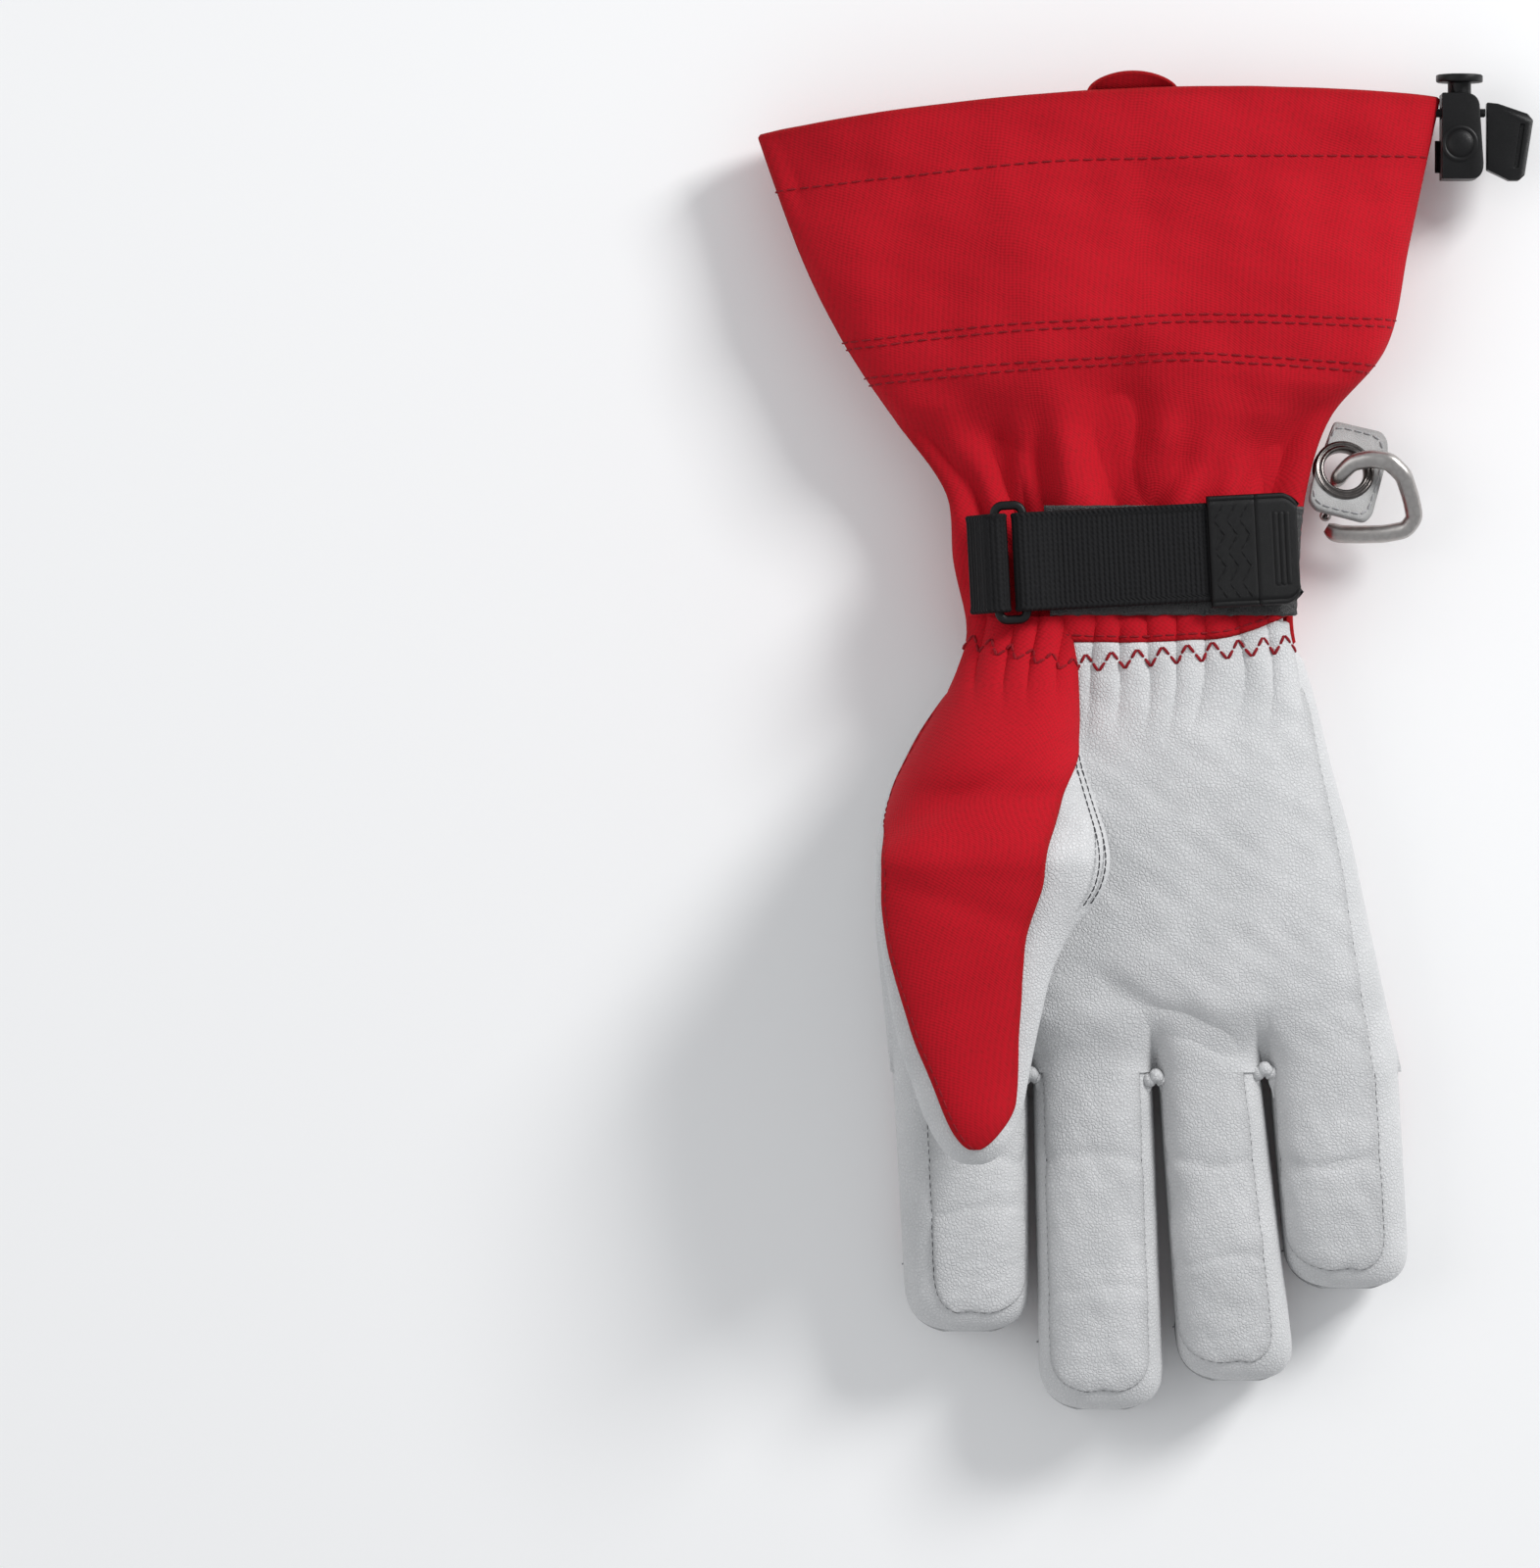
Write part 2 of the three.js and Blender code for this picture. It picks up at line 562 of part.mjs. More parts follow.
// Where the rod goes through the eyelet.
const PASS = [49.9, 86.9];
const carabiner = leaning(PASS[0], PASS[1], EYELET.z, CARABINER_LEAN);
const flatPlan = inLean(PASS[0], PASS[1], CARABINER_LEAN);
const flatPoint = (p) => new THREE.Vector3(...flatPlan(p), 0);

function rod(points, radius, steps) {
  const path = new THREE.CatmullRomCurve3(points.map(flatPoint), false, "centripetal");
  const section = new THREE.Shape().absarc(0, 0, radius, 0, 2 * Math.PI);
  const carry = { extrudePath: path, steps, curveSegments: 4, bevelEnabled: false };
  return new THREE.ExtrudeGeometry(section, carry);
}

const HOOK = [[48.1, 83.9], PASS, [52.6, 89.6], [57, 90.6], [62, 89.8], [65.6, 86.3], [67.6, 80.5],
  [68.7, 75.6], [66.5, 72.5], [61, 71.5], [54, 71.4], [49, 71.6], [46.4, 73.2]];
const GATE_PIN = [46.2, 76.4];
const GATE_TIP = [47.95, 83.2];
const pinAt = flatPlan(GATE_PIN);
const disc = (r, z0, z1) => raised(new THREE.Shape().absarc(0, 0, r, 0, 2 * Math.PI), z0, z1, 10);
const ear = (z0, z1) => {
  const [ex, ey] = flatPlan([46.35, 73.6]);
  const bar = new THREE.BoxGeometry(Math.hypot(pinAt[0] - ex, pinAt[1] - ey), 3.2, z1 - z0);
  bar.rotateZ(Math.atan2(pinAt[1] - ey, pinAt[0] - ex));
  bar.translate((pinAt[0] + ex) / 2, (pinAt[1] + ey) / 2, (z0 + z1) / 2);
  return joined(disc(1.6, z0, z1).translate(pinAt[0], pinAt[1], 0), bar);
};
const pinBore = (r) => disc(r, -3, 3).translate(pinAt[0], pinAt[1], 0);
const hookBody = joined(rod(HOOK, ROD, 28), ear(1.15, 1.85), ear(-1.85, -1.15));
add("carabiner_body", cut(hookBody, pinBore(0.9)), ALUMINIUM(), carabiner);

// The gate closes on the nose and turns about its pin, into the carabiner.
const gateRod = rod([GATE_PIN, GATE_TIP], 1.15, 2);
const gateRoot = disc(1.5, -0.85, 0.85).translate(pinAt[0], pinAt[1], 0);
const gateHead = rod([[47.5, 81.4], GATE_TIP], 1.6, 1);
const gate = joined(cut(gateRod, ear(0.85, 3), ear(-3, -0.85)), gateRoot, gateHead);
add("carabiner_gate", cut(gate, pinBore(0.95)), ALUMINIUM(), carabiner);
const pin = disc(0.6, -1.8, 1.8).translate(pinAt[0], pinAt[1], 0);
add("carabiner_gate_pin", pin, NICKEL(), carabiner);

// ---------------------------------------------------------------- hem drawcord

const along = (r, y0, y1, x, z) => {
  const g = new THREE.CylinderGeometry(r, r, y1 - y0, 16);
  return g.translate(x, (y0 + y1) / 2, z);
};
const lockX = (LOCK.x0 + LOCK.x1) / 2 - 0.6;
const cordHeights = [LOCK.boreZ - 1.45, LOCK.boreZ + 1.45];
const lockOutline = new THREE.Shape();
lockOutline.moveTo(LOCK.x0, LOCK.y0).lineTo(LOCK.x1 - 3, LOCK.y0);
lockOutline.quadraticCurveTo(LOCK.x1, LOCK.y0, LOCK.x1, LOCK.y0 + 4);
lockOutline.lineTo(LOCK.x1 - 1, LOCK.y1 - 3);
lockOutline.quadraticCurveTo(LOCK.x1 - 1.5, LOCK.y1, LOCK.x1 - 5, LOCK.y1);
lockOutline.lineTo(LOCK.x0, LOCK.y1);
const [cordLow, cordHigh] = [LOCK.cordY - 1.4, LOCK.cordY + 1.4];
const cordWay = box(70, cordLow, LOCK.boreZ - 2.9, 90, cordHigh, LOCK.boreZ + 2.9);
const anchorSlot = box(70, 163.6, 8.9, 84, 172.6, 10.9);
const lockBore = along(3.3, 166, 190, lockX, LOCK.boreZ);
add("lock_body", cut(raised(lockOutline, LOCK.z0, LOCK.z1), cordWay, anchorSlot, lockBore), BLACK());

const DISC_LOW = 186.8; // clear of the body when the plunger is pressed home
const DISC_HIGH = 188.8;
const plungerStem = along(3, 176, DISC_LOW + 0.1, lockX, LOCK.boreZ);
const plungerDisc = along(6, DISC_LOW, DISC_HIGH, lockX, LOCK.boreZ);
const plungerLow = [LOCK.x0 - 5, LOCK.cordY - 1.3, LOCK.boreZ - 2.75];
const plungerWay = box(...plungerLow, LOCK.x1 + 4, LOCK.cordY + 4, LOCK.boreZ + 2.75);
const plunger = joined(cut(plungerStem, plungerWay), plungerDisc);
add("lock_plunger", plunger, BLACK());

// The spring under the plunger: five turns of thin wire.
class Coil extends THREE.Curve {
  getPoint(t, target = new THREE.Vector3()) {
    const a = 2 * Math.PI * 5 * t;
    const [x, z] = [2.2 * Math.cos(a), 2.2 * Math.sin(a)];
    return target.set(lockX + x, lerp(166.7, 175.2, t), LOCK.boreZ + z);
  }
}
const wire = new THREE.Shape().absarc(0, 0, 0.35, 0, 2 * Math.PI);
const winding = { extrudePath: new Coil(), steps: 40, curveSegments: 2, bevelEnabled: false };
add("lock_spring", new THREE.ExtrudeGeometry(wire, winding), ALUMINIUM());

// The elastic cord: two strands out of the hem, joined behind it.
const CORD_ENDS = [61, 86.6];
function strand(z) {
  const g = new THREE.CylinderGeometry(CORD, CORD, CORD_ENDS[1] - CORD_ENDS[0], 8);
  return g.rotateZ(Math.PI / 2).translate((CORD_ENDS[0] + CORD_ENDS[1]) / 2, LOCK.cordY, z);
}
const turnLow = [CORD_ENDS[0], LOCK.cordY - 0.8, cordHeights[0]];
const turn = box(...turnLow, CORD_ENDS[0] + 1.6, LOCK.cordY + 0.8, cordHeights[1]);
add("drawcord", joined(...cordHeights.map(strand), turn), BLACK());

const clipOutline = [
  [87, 181.6],
  [89.8, 181.3],
  [97.4, 178.7],
  [98.8, 177],
  [96.6, 163],
  [95.2, 161.7],
  [92.6, 161.7],
  [87, 164.4],
];
const clipGrip = [[94, 165], [95, 165], [96.6, 176], [95.6, 176]];
const clip = cut(raised(polygon(clipOutline), 12, 17.2), raised(polygon(clipGrip), 16.6, 18));
add("cord_end_clip", clip, BLACK());
add("lock_anchor_webbing", box(74.3, 164, 9.2, 83.6, 172.2, 10.6), WEBBING());

export default glove;
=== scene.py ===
# %% [markdown]
# # A ski glove, palm up
# The glove is sewn from white leather and red canvas, with a wrist strap, a carabiner on an eyelet
# and a drawcord at the hem. The imported model holds the moving bodies; many pieces made here ride on them.
# Lengths below are in millimetres, as on a maker's drawing, and become metres when a mesh is made.
# The fingers point along -Y, the gauntlet along +Y, the thumb lies on the -X side, and +Z is up.

import bmesh
import bpy
import numpy as np
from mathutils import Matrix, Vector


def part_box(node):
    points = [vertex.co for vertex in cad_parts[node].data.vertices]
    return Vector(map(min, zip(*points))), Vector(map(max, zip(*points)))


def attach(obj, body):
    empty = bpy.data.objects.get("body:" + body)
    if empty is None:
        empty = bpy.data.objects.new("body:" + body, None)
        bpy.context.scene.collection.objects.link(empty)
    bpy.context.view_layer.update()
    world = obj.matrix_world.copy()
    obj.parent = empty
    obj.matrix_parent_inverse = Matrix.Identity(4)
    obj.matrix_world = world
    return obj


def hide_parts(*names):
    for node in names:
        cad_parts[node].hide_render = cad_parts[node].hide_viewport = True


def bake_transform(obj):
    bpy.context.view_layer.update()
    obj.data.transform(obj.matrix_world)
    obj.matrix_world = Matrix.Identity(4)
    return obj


MM = 0.001
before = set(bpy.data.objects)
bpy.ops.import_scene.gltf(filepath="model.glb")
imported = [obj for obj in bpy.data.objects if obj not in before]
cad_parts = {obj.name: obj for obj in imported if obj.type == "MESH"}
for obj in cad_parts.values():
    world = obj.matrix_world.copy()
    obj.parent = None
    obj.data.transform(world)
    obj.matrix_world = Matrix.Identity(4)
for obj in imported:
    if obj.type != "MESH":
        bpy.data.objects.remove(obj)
scene = bpy.context.scene
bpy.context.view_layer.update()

# %% [markdown]
# ## Camera
# The flat-laid glove is seen from straight above with a long lens, so that nothing near the edge leans
# outwards. The camera stands 2.5 m up and its lens is worked out from the height of the field that it
# has to cover, which is easier to read than a lens found by trial.

# %% Camera, straight down
FIELD_HEIGHT = 400
FIELD_CENTRE = (-96.1, 7.5)
CAMERA_HEIGHT = 2500
MIDDLE_HEIGHT = 20
camera = bpy.data.objects.new("camera", bpy.data.cameras.new("camera"))
scene.collection.objects.link(camera)
camera.location = (FIELD_CENTRE[0] * MM, FIELD_CENTRE[1] * MM, CAMERA_HEIGHT * MM)
camera.data.sensor_fit = "VERTICAL"
camera.data.sensor_height = 24
camera.data.lens = 24 * (CAMERA_HEIGHT - MIDDLE_HEIGHT) / FIELD_HEIGHT
camera.data.clip_end = 20
scene.camera = camera
print("lens", round(camera.data.lens, 1), "mm")

# %% [markdown]
# ## Floor and light
# The floor is a plain white sheet. One large soft lamp up and to the right gives the shadows a side, a
# second one fills them, and a pale world lights what neither reaches. Large lamps make soft shadows.

# %% Floor and lamps
def area_lamp(name, place, size, power):
    """A square lamp at place that faces the middle of the glove."""
    lamp = bpy.data.objects.new(name, bpy.data.lights.new(name, "AREA"))
    scene.collection.objects.link(lamp)
    lamp.data.size, lamp.data.energy = size, power
    lamp.location = place
    lamp.rotation_euler = (-lamp.location).to_track_quat("-Z", "Y").to_euler()
    return lamp


area_lamp("key_lamp", (1.3, 1.1, 1.0), 0.6, 30)
area_lamp("fill_lamp", (-1.3, 0.2, 1.3), 1.2, 5)
scene.view_settings.view_transform = "Standard"
scene.world = bpy.data.worlds.new("studio")
scene.world.use_nodes = True
studio = scene.world.node_tree.nodes["Background"]
studio.inputs["Color"].default_value = (0.95, 0.97, 1.0, 1)
studio.inputs["Strength"].default_value = 0.50

floor_mesh = bpy.data.meshes.new("floor")
FLOOR_REACH = 3.0
floor_mesh.from_pydata(
    [(FLOOR_REACH * x, FLOOR_REACH * y, 0) for x, y in ((-1, -1), (1, -1), (1, 1), (-1, 1))], [],
    [(0, 1, 2, 3)]
)
floor = bpy.data.objects.new("floor", floor_mesh)
scene.collection.objects.link(floor)
paper = bpy.data.materials.new("paper")
paper.use_nodes = True
paper.node_tree.nodes["Principled BSDF"].inputs["Base Color"].default_value = (0.97, 0.97, 0.97, 1)
paper.node_tree.nodes["Principled BSDF"].inputs["Roughness"].default_value = 0.9
floor_mesh.materials.append(paper)
print("two lamps and a floor")

# %% [markdown]
# ## Shared surface effects
# Cloth, leather and moulded plastic each have a fine relief that is seen as a texture. Each relief is a
# node group with named inputs, built once and placed in every finish that needs it with its own size.
# The weave reads the piece's own UV map, which runs with the cloth in metres; the grain reads Object
# coordinates, because a hide has no direction.

# %% Node helpers
def wire(tree, source, target):
    tree.links.new(source, target)


def maths(tree, operation, *values):
    """A Math node; a value is a number or another node's output."""
    node = tree.nodes.new("ShaderNodeMath")
    node.operation = operation
    for socket, value in zip(node.inputs, values):
        if isinstance(value, (int, float)):
            socket.default_value = value
        else:
            wire(tree, value, socket)
    return node.outputs[0]


def effect_group(name, inputs, outputs):
    """A new node group with float inputs {name: default}, a vector input, and float outputs."""
    tree = bpy.data.node_groups.new(name, "ShaderNodeTree")
    tree.interface.new_socket("Vector", in_out="INPUT", socket_type="NodeSocketVector")
    for label, default in inputs.items():
        tree.interface.new_socket(label, in_out="INPUT",
                                  socket_type="NodeSocketFloat").default_value = default
    for label in outputs:
        tree.interface.new_socket(label, in_out="OUTPUT", socket_type="NodeSocketFloat")
    return tree, tree.nodes.new("NodeGroupInput"), tree.nodes.new("NodeGroupOutput")


def noise(tree, vector, scale, detail=3.0, roughness=0.55):
    """A Noise texture; its output runs from about 0.3 to 0.7."""
    node = tree.nodes.new("ShaderNodeTexNoise")
    node.inputs["Detail"].default_value = detail
    node.inputs["Roughness"].default_value = roughness
    wire(tree, vector, node.inputs["Vector"])
    if isinstance(scale, (int, float)):
        node.inputs["Scale"].default_value = scale
    else:
        wire(tree, scale, node.inputs["Scale"])
    return node.outputs["Fac"]


# %% Weave
weave, inside, outside = effect_group("weave", {"Threads": 1400.0, "Slant": 0.0, "Ribbed": 0.0},
                                     ("Height", "Tone"))
split = weave.nodes.new("ShaderNodeSeparateXYZ")
wire(weave, inside.outputs["Vector"], split.inputs[0])
slanted = maths(weave, "MULTIPLY_ADD", split.outputs["Y"], inside.outputs["Slant"], split.outputs["X"])
warp = maths(weave, "SINE",
             maths(weave, "MULTIPLY", maths(weave, "MULTIPLY", slanted, inside.outputs["Threads"]), np.pi))
weft = maths(weave, "SINE", maths(weave, "MULTIPLY", maths(weave, "MULTIPLY", split.outputs["Y"],
                                                           inside.outputs["Threads"]), np.pi))
crossed = maths(weave, "MULTIPLY", warp, weft)
ribs = maths(weave, "MULTIPLY", maths(weave, "SUBTRACT", warp, crossed), inside.outputs["Ribbed"])
threads = maths(weave, "MULTIPLY_ADD", maths(weave, "ADD", crossed, ribs), 0.5, 0.5)
slubs = noise(weave, inside.outputs["Vector"], maths(weave, "MULTIPLY", inside.outputs["Threads"], 0.6))
wire(weave, maths(weave, "MULTIPLY_ADD", slubs, 0.8, threads), outside.inputs["Height"])
# Tone: random slubs plus painted shade, darker in the valleys between the threads.
wire(weave, maths(weave, "MULTIPLY_ADD", threads, 0.5, slubs), outside.inputs["Tone"])
print("weave group:", len(weave.nodes), "nodes")

# %% Leather grain
grain, inside, outside = effect_group("grain", {"Cells": 900.0}, ("Height", "Tone"))
cells = grain.nodes.new("ShaderNodeTexVoronoi")
cells.feature = "DISTANCE_TO_EDGE"
wire(grain, inside.outputs["Vector"], cells.inputs["Vector"])
wire(grain, inside.outputs["Cells"], cells.inputs["Scale"])
valleys = maths(grain, "MINIMUM", maths(grain, "MULTIPLY", cells.outputs["Distance"], 4.0), 1.0)
pores = noise(grain, inside.outputs["Vector"], maths(grain, "MULTIPLY", inside.outputs["Cells"], 1.7))
hide = noise(grain, inside.outputs["Vector"], maths(grain, "MULTIPLY", inside.outputs["Cells"], 0.05))
wire(grain, maths(grain, "MULTIPLY_ADD", pores, 0.7, valleys), outside.inputs["Height"])
# Tone: random mottling of the hide plus a little painted shade, darker in the grain's valleys.
wire(grain, maths(grain, "MULTIPLY_ADD", hide, 0.8, maths(grain, "MULTIPLY", valleys, 0.2)),
     outside.inputs["Tone"])
print("grain group:", len(grain.nodes), "nodes")

# %% [markdown]
# ## Finishes
# Each finish is one Principled shader. Its colour runs between two close tones along the effect's own
# mask, which mixes random tone with painted shade that makes valleys darker than crests, and a second
# mask, kept on the mesh as the attribute "seam", paints shade and dust into the cloth where it dives into a
# seam.

# %% One recipe for every finish
def finish(name, low, high, roughness, effect, sizes, bump, sheen=0.0, metallic=0.0, spread=0.15, uv=False):
    """A material whose tone, roughness and relief come from one effect group, darker near seams."""
    made = bpy.data.materials.new(name)
    made.use_nodes = True
    tree = made.node_tree
    shader = tree.nodes["Principled BSDF"]
    place = tree.nodes.new("ShaderNodeTexCoord").outputs["UV" if uv else "Object"]
    group = tree.nodes.new("ShaderNodeGroup")
    group.node_tree = effect
    wire(tree, place, group.inputs["Vector"])
    for label, value in sizes.items():
        group.inputs[label].default_value = value
    tones = tree.nodes.new("ShaderNodeValToRGB")
    tones.color_ramp.elements[0].position, tones.color_ramp.elements[1].position = 0.25, 0.85
    tones.color_ramp.elements[0].color, tones.color_ramp.elements[1].color = (*low, 1), (*high, 1)
    wire(tree, group.outputs["Tone"], tones.inputs["Fac"])
    # Painted shade and dust: the "seam" mask multiplies the colour towards a darker tone where the cloth
    # dives into a seam.
    seam = tree.nodes.new("ShaderNodeAttribute")
    seam.attribute_name = "seam"
    shade = tree.nodes.new("ShaderNodeMix")
    shade.data_type, shade.blend_type = "RGBA", "MULTIPLY"
    wire(tree, maths(tree, "MULTIPLY", seam.outputs["Fac"], 0.85), shade.inputs["Factor"])
    wire(tree, tones.outputs["Color"], shade.inputs[6])
    shade.inputs[7].default_value = (*(0.45 * c / max(high) + 0.1 for c in high), 1)
    wire(tree, shade.outputs[2], shader.inputs["Base Color"])
    rough = maths(tree, "MULTIPLY_ADD", group.outputs["Tone"], spread, roughness - spread / 2)
    wire(tree, rough, shader.inputs["Roughness"])
    relief = tree.nodes.new("ShaderNodeBump")
    relief.inputs["Distance"].default_value = bump * MM
    relief.inputs["Strength"].default_value = 1.0
    wire(tree, group.outputs["Height"], relief.inputs["Height"])
    wire(tree, relief.outputs["Normal"], shader.inputs["Normal"])
    shader.inputs["Sheen Weight"].default_value = sheen
    shader.inputs["Metallic"].default_value = metallic
    shader.inputs["Specular IOR Level"].default_value = 0.5 if metallic else 0.28
    return made


# %% The glove's own finishes
red_canvas = finish("red_canvas", (0.33, 0.001, 0.006), (0.50, 0.002, 0.012), 0.85, weave,
                    {"Threads": 1500.0, "Slant": 0.5}, 0.07, uv=True)
white_leather = finish("white_leather", (0.56, 0.565, 0.57), (0.71, 0.71, 0.715), 0.5, grain,
                       {"Cells": 1100.0}, 0.12)
tab_suede = finish("tab_suede", (0.40, 0.40, 0.395), (0.56, 0.555, 0.55), 0.8, grain, {"Cells": 2600.0},
                   0.08, sheen=0.2)
strap_webbing = finish("strap_webbing", (0.001, 0.001, 0.0013), (0.009, 0.009, 0.010), 0.8, weave,
                       {"Threads": 1500.0, "Slant": 0.0, "Ribbed": 0.75}, 0.3, uv=True)
moulded_rubber = finish("moulded_rubber", (0.002, 0.002, 0.0022), (0.006, 0.006, 0.0065), 0.5, grain,
                        {"Cells": 3200.0}, 0.03)
satin_plastic = finish("satin_plastic", (0.003, 0.003, 0.0033), (0.008, 0.008, 0.0085), 0.4, grain,
                       {"Cells": 2600.0}, 0.015)
hook_and_loop = finish("hook_and_loop", (0.001, 0.001, 0.001), (0.014, 0.014, 0.015), 0.95, grain,
                       {"Cells": 2400.0}, 0.7, sheen=0.3)
fleece = finish("fleece", (0.03, 0.03, 0.035), (0.075, 0.075, 0.085), 0.95, grain, {"Cells": 700.0}, 0.9,
                sheen=0.4)
dark_nickel = finish("dark_nickel", (0.08, 0.07, 0.068), (0.16, 0.148, 0.14), 0.2, grain, {"Cells": 300.0},
                     0.004, metallic=1.0)
satin_aluminium = finish("satin_aluminium", (0.42, 0.40, 0.385), (0.56, 0.54, 0.52), 0.36, grain,
                         {"Cells": 500.0}, 0.006, metallic=1.0)
pale_thread = finish("pale_thread", (0.34, 0.34, 0.35), (0.56, 0.56, 0.57), 0.7, grain, {"Cells": 5000.0},
                     0.05)
grey_thread = finish("grey_thread", (0.03, 0.03, 0.034), (0.09, 0.09, 0.1), 0.7, grain, {"Cells": 5000.0},
                     0.05)
red_thread = finish("red_thread", (0.20, 0.003, 0.008), (0.42, 0.008, 0.018), 0.65, grain, {"Cells": 5000.0},
                    0.05)
black_thread = finish("black_thread", (0.004, 0.004, 0.004), (0.014, 0.014, 0.015), 0.7, grain,
                      {"Cells": 5000.0}, 0.05)
woven_patch = finish("woven_patch", (0.004, 0.004, 0.005), (0.02, 0.02, 0.022), 0.7, weave,
                     {"Threads": 1900.0, "Slant": 1.0}, 0.12, uv=True)
print(len(bpy.data.materials), "finishes")

# %% [markdown]
# ## Sewn pieces as grids
# A leather or canvas piece is a surface of two parameters. Its points are worked out as one array, its
# normals come from the array's own slopes, and the piece gets a thickness inwards. At a seam the real
# edge is turned under, so near each sewn edge the outer face dives in a quarter round.

# %% Grid helpers
ROLL = 1.1
SHARP = 0.95


def grid_normals(points, facing=None, wrap=False):
    """Unit normals of a grid: the cross product of its two slopes, turned towards `facing` or outwards."""
    if wrap:
        across = np.roll(points, -1, 1) - np.roll(points, 1, 1)
    else:
        across = np.gradient(points, axis=1)
    normal = np.cross(across, np.gradient(points, axis=0))
    normal /= np.maximum(np.linalg.norm(normal, axis=-1, keepdims=True), 1e-9)
    away = points - points.mean((0, 1)) if facing is None else np.array(facing, float)
    if wrap and facing is None:
        away = points - points.mean(1, keepdims=True)
    return normal if (normal * away).sum(-1).mean() > 0 else -normal


def run_length(points, axis):
    """Distance along the grid's lines from their start, in mm."""
    steps = np.linalg.norm(np.diff(points, axis=axis), axis=-1)
    start = np.zeros_like(np.take(steps, [0], axis))
    return np.concatenate([start, np.cumsum(steps, axis)], axis)


def grid_quads(rows, columns, first=0, wrap=False):
    """Faces of a grid numbered row by row; wrap joins the last column to the first."""
    i, j = np.meshgrid(np.arange(rows - 1), np.arange(columns if wrap else columns - 1), indexing="ij")
    k = (j + 1) % columns
    return first + np.stack([i * columns + j, i * columns + k, (i + 1) * columns + k, (i + 1) * columns + j],
                            -1).reshape(-1, 4)


def outward(points, faces):
    """The same faces, all turned round if the closed body they make has a negative volume."""
    a, b, c = points[faces[:, 0]], points[faces[:, 1]], points[faces[:, 2]]
    d = points[faces[:, 3]]
    volume = (a * np.cross(b, c)).sum() + (a * np.cross(c, d)).sum()
    return faces if volume > 0 else faces[:, ::-1]


def new_piece(name, points, faces, material, cloth=None, seam=None, caps=()):
    """A mesh object from points in mm; cloth is its UV map in metres and seam its nearness to a seam."""
    mesh = bpy.data.meshes.new(name)
    mesh.from_pydata((points * MM).tolist(), [], faces.tolist() + [list(map(int, c)) for c in caps])
    corner = np.empty(len(mesh.loops), int)
    mesh.loops.foreach_get("vertex_index", corner)
    if cloth is None:
        cloth = points[:, :2] * MM
    mesh.uv_layers.new(name="cloth").data.foreach_set("uv", cloth[corner].astype(np.float32).ravel())
    seam = np.zeros(len(points)) if seam is None else seam
    mesh.attributes.new("seam", "FLOAT", "POINT").data.foreach_set("value", seam.astype(np.float32))
    mesh.polygons.foreach_set("use_smooth", np.ones(len(mesh.polygons), bool))
    mesh.set_sharp_from_angle(angle=SHARP)
    mesh.materials.append(material)
    made = bpy.data.objects.new(name, mesh)
    scene.collection.objects.link(made)
    return made


def sewn_piece(name, points, material, facing=None, lift=0.0, thick=1.4, sewn="lrbt", wrap=False, roll=ROLL):
    """A closed slab under a grid of points: sewn names the edges (left, right, bottom, top) that dive in.

    The outer face sinks by roll - sqrt(roll^2 - (roll - d)^2) at a distance d from a sewn edge."""
    normal = grid_normals(points, facing, wrap)
    across, along = run_length(points, 1), run_length(points, 0)
    reach = {"l": across, "r": across[:, -1:] - across, "b": along, "t": along[-1:] - along}
    edge = np.min([reach[side] for side in sewn], axis=0) if sewn else np.full(across.shape, 99.0)
    near = np.clip(roll - edge, 0, roll)
    sink = roll - np.sqrt(roll**2 - near**2)
    outer = points + normal * (lift - sink)[..., None]
    inner = points + normal * (lift - thick)
    rows, columns = across.shape
    count = rows * columns
    faces = [grid_quads(rows, columns, 0, wrap), grid_quads(rows, columns, count, wrap)[:, ::-1]]
    rims = [np.arange(columns), np.arange(columns) + count - columns]
    if wrap:
        rims = [np.append(rim, rim[0]) for rim in rims]
    else:
        rims += [np.arange(rows) * columns, np.arange(rows) * columns + columns - 1]
    for number, rim in enumerate(rims):
        strip = np.stack([rim[:-1], rim[:-1] + count, rim[1:] + count, rim[1:]], -1)
        faces.append(strip if number in (0, 3) else strip[:, ::-1])
    every = np.concatenate([outer, inner]).reshape(-1, 3)
    cloth = np.stack([across, along], -1).reshape(-1, 2) * MM
    # This nearness to a sewn edge is the "seam" mask, which paints shade and dust into the seam grooves.
    near_seam = np.exp(-edge / 1.3).ravel()
    return new_piece(name, every, outward(every, np.concatenate(faces)), material,
                     np.concatenate([cloth, cloth]), np.concatenate([near_seam, near_seam]))


def closed_tube(name, rings, material, loop=False):
    """A closed body through rings of points: loop joins last to first, else both ends are capped."""
    rows, columns, _ = rings.shape
    ring_list = np.concatenate([rings, rings[:1]]) if loop else rings
    faces = grid_quads(len(ring_list), columns, 0, True)
    faces = faces % (rows * columns)
    points = rings.reshape(-1, 3)
    turned = outward(points, faces)
    flip = not np.array_equal(turned, faces)
    ends = [np.arange(columns), (np.arange(columns) + (rows - 1) * columns)[::-1]]
    caps = [] if loop else [e if flip else e[::-1] for e in (ends[0][::-1], ends[1][::-1])]
    if not loop:
        caps = [c[::-1] for c in caps]
    across, along = run_length(rings, 1), run_length(rings, 0)
    cloth = np.stack([across, along], -1).reshape(-1, 2) * MM
    return new_piece(name, points, turned, material, cloth, caps=caps)


print("grid helpers ready")

# %% [markdown]
# ## The body of the glove
# From the knuckles to the wrist the glove is a flat, rounded tube. Its width, height and the roundness of
# its section are known at a few stations along Y; between them a short running mean of straight lines
# gives a soft curve with no kinks. The section is a superellipse, |x|^p + |z|^p = 1, which goes from an
# oval to a rounded box with one number.

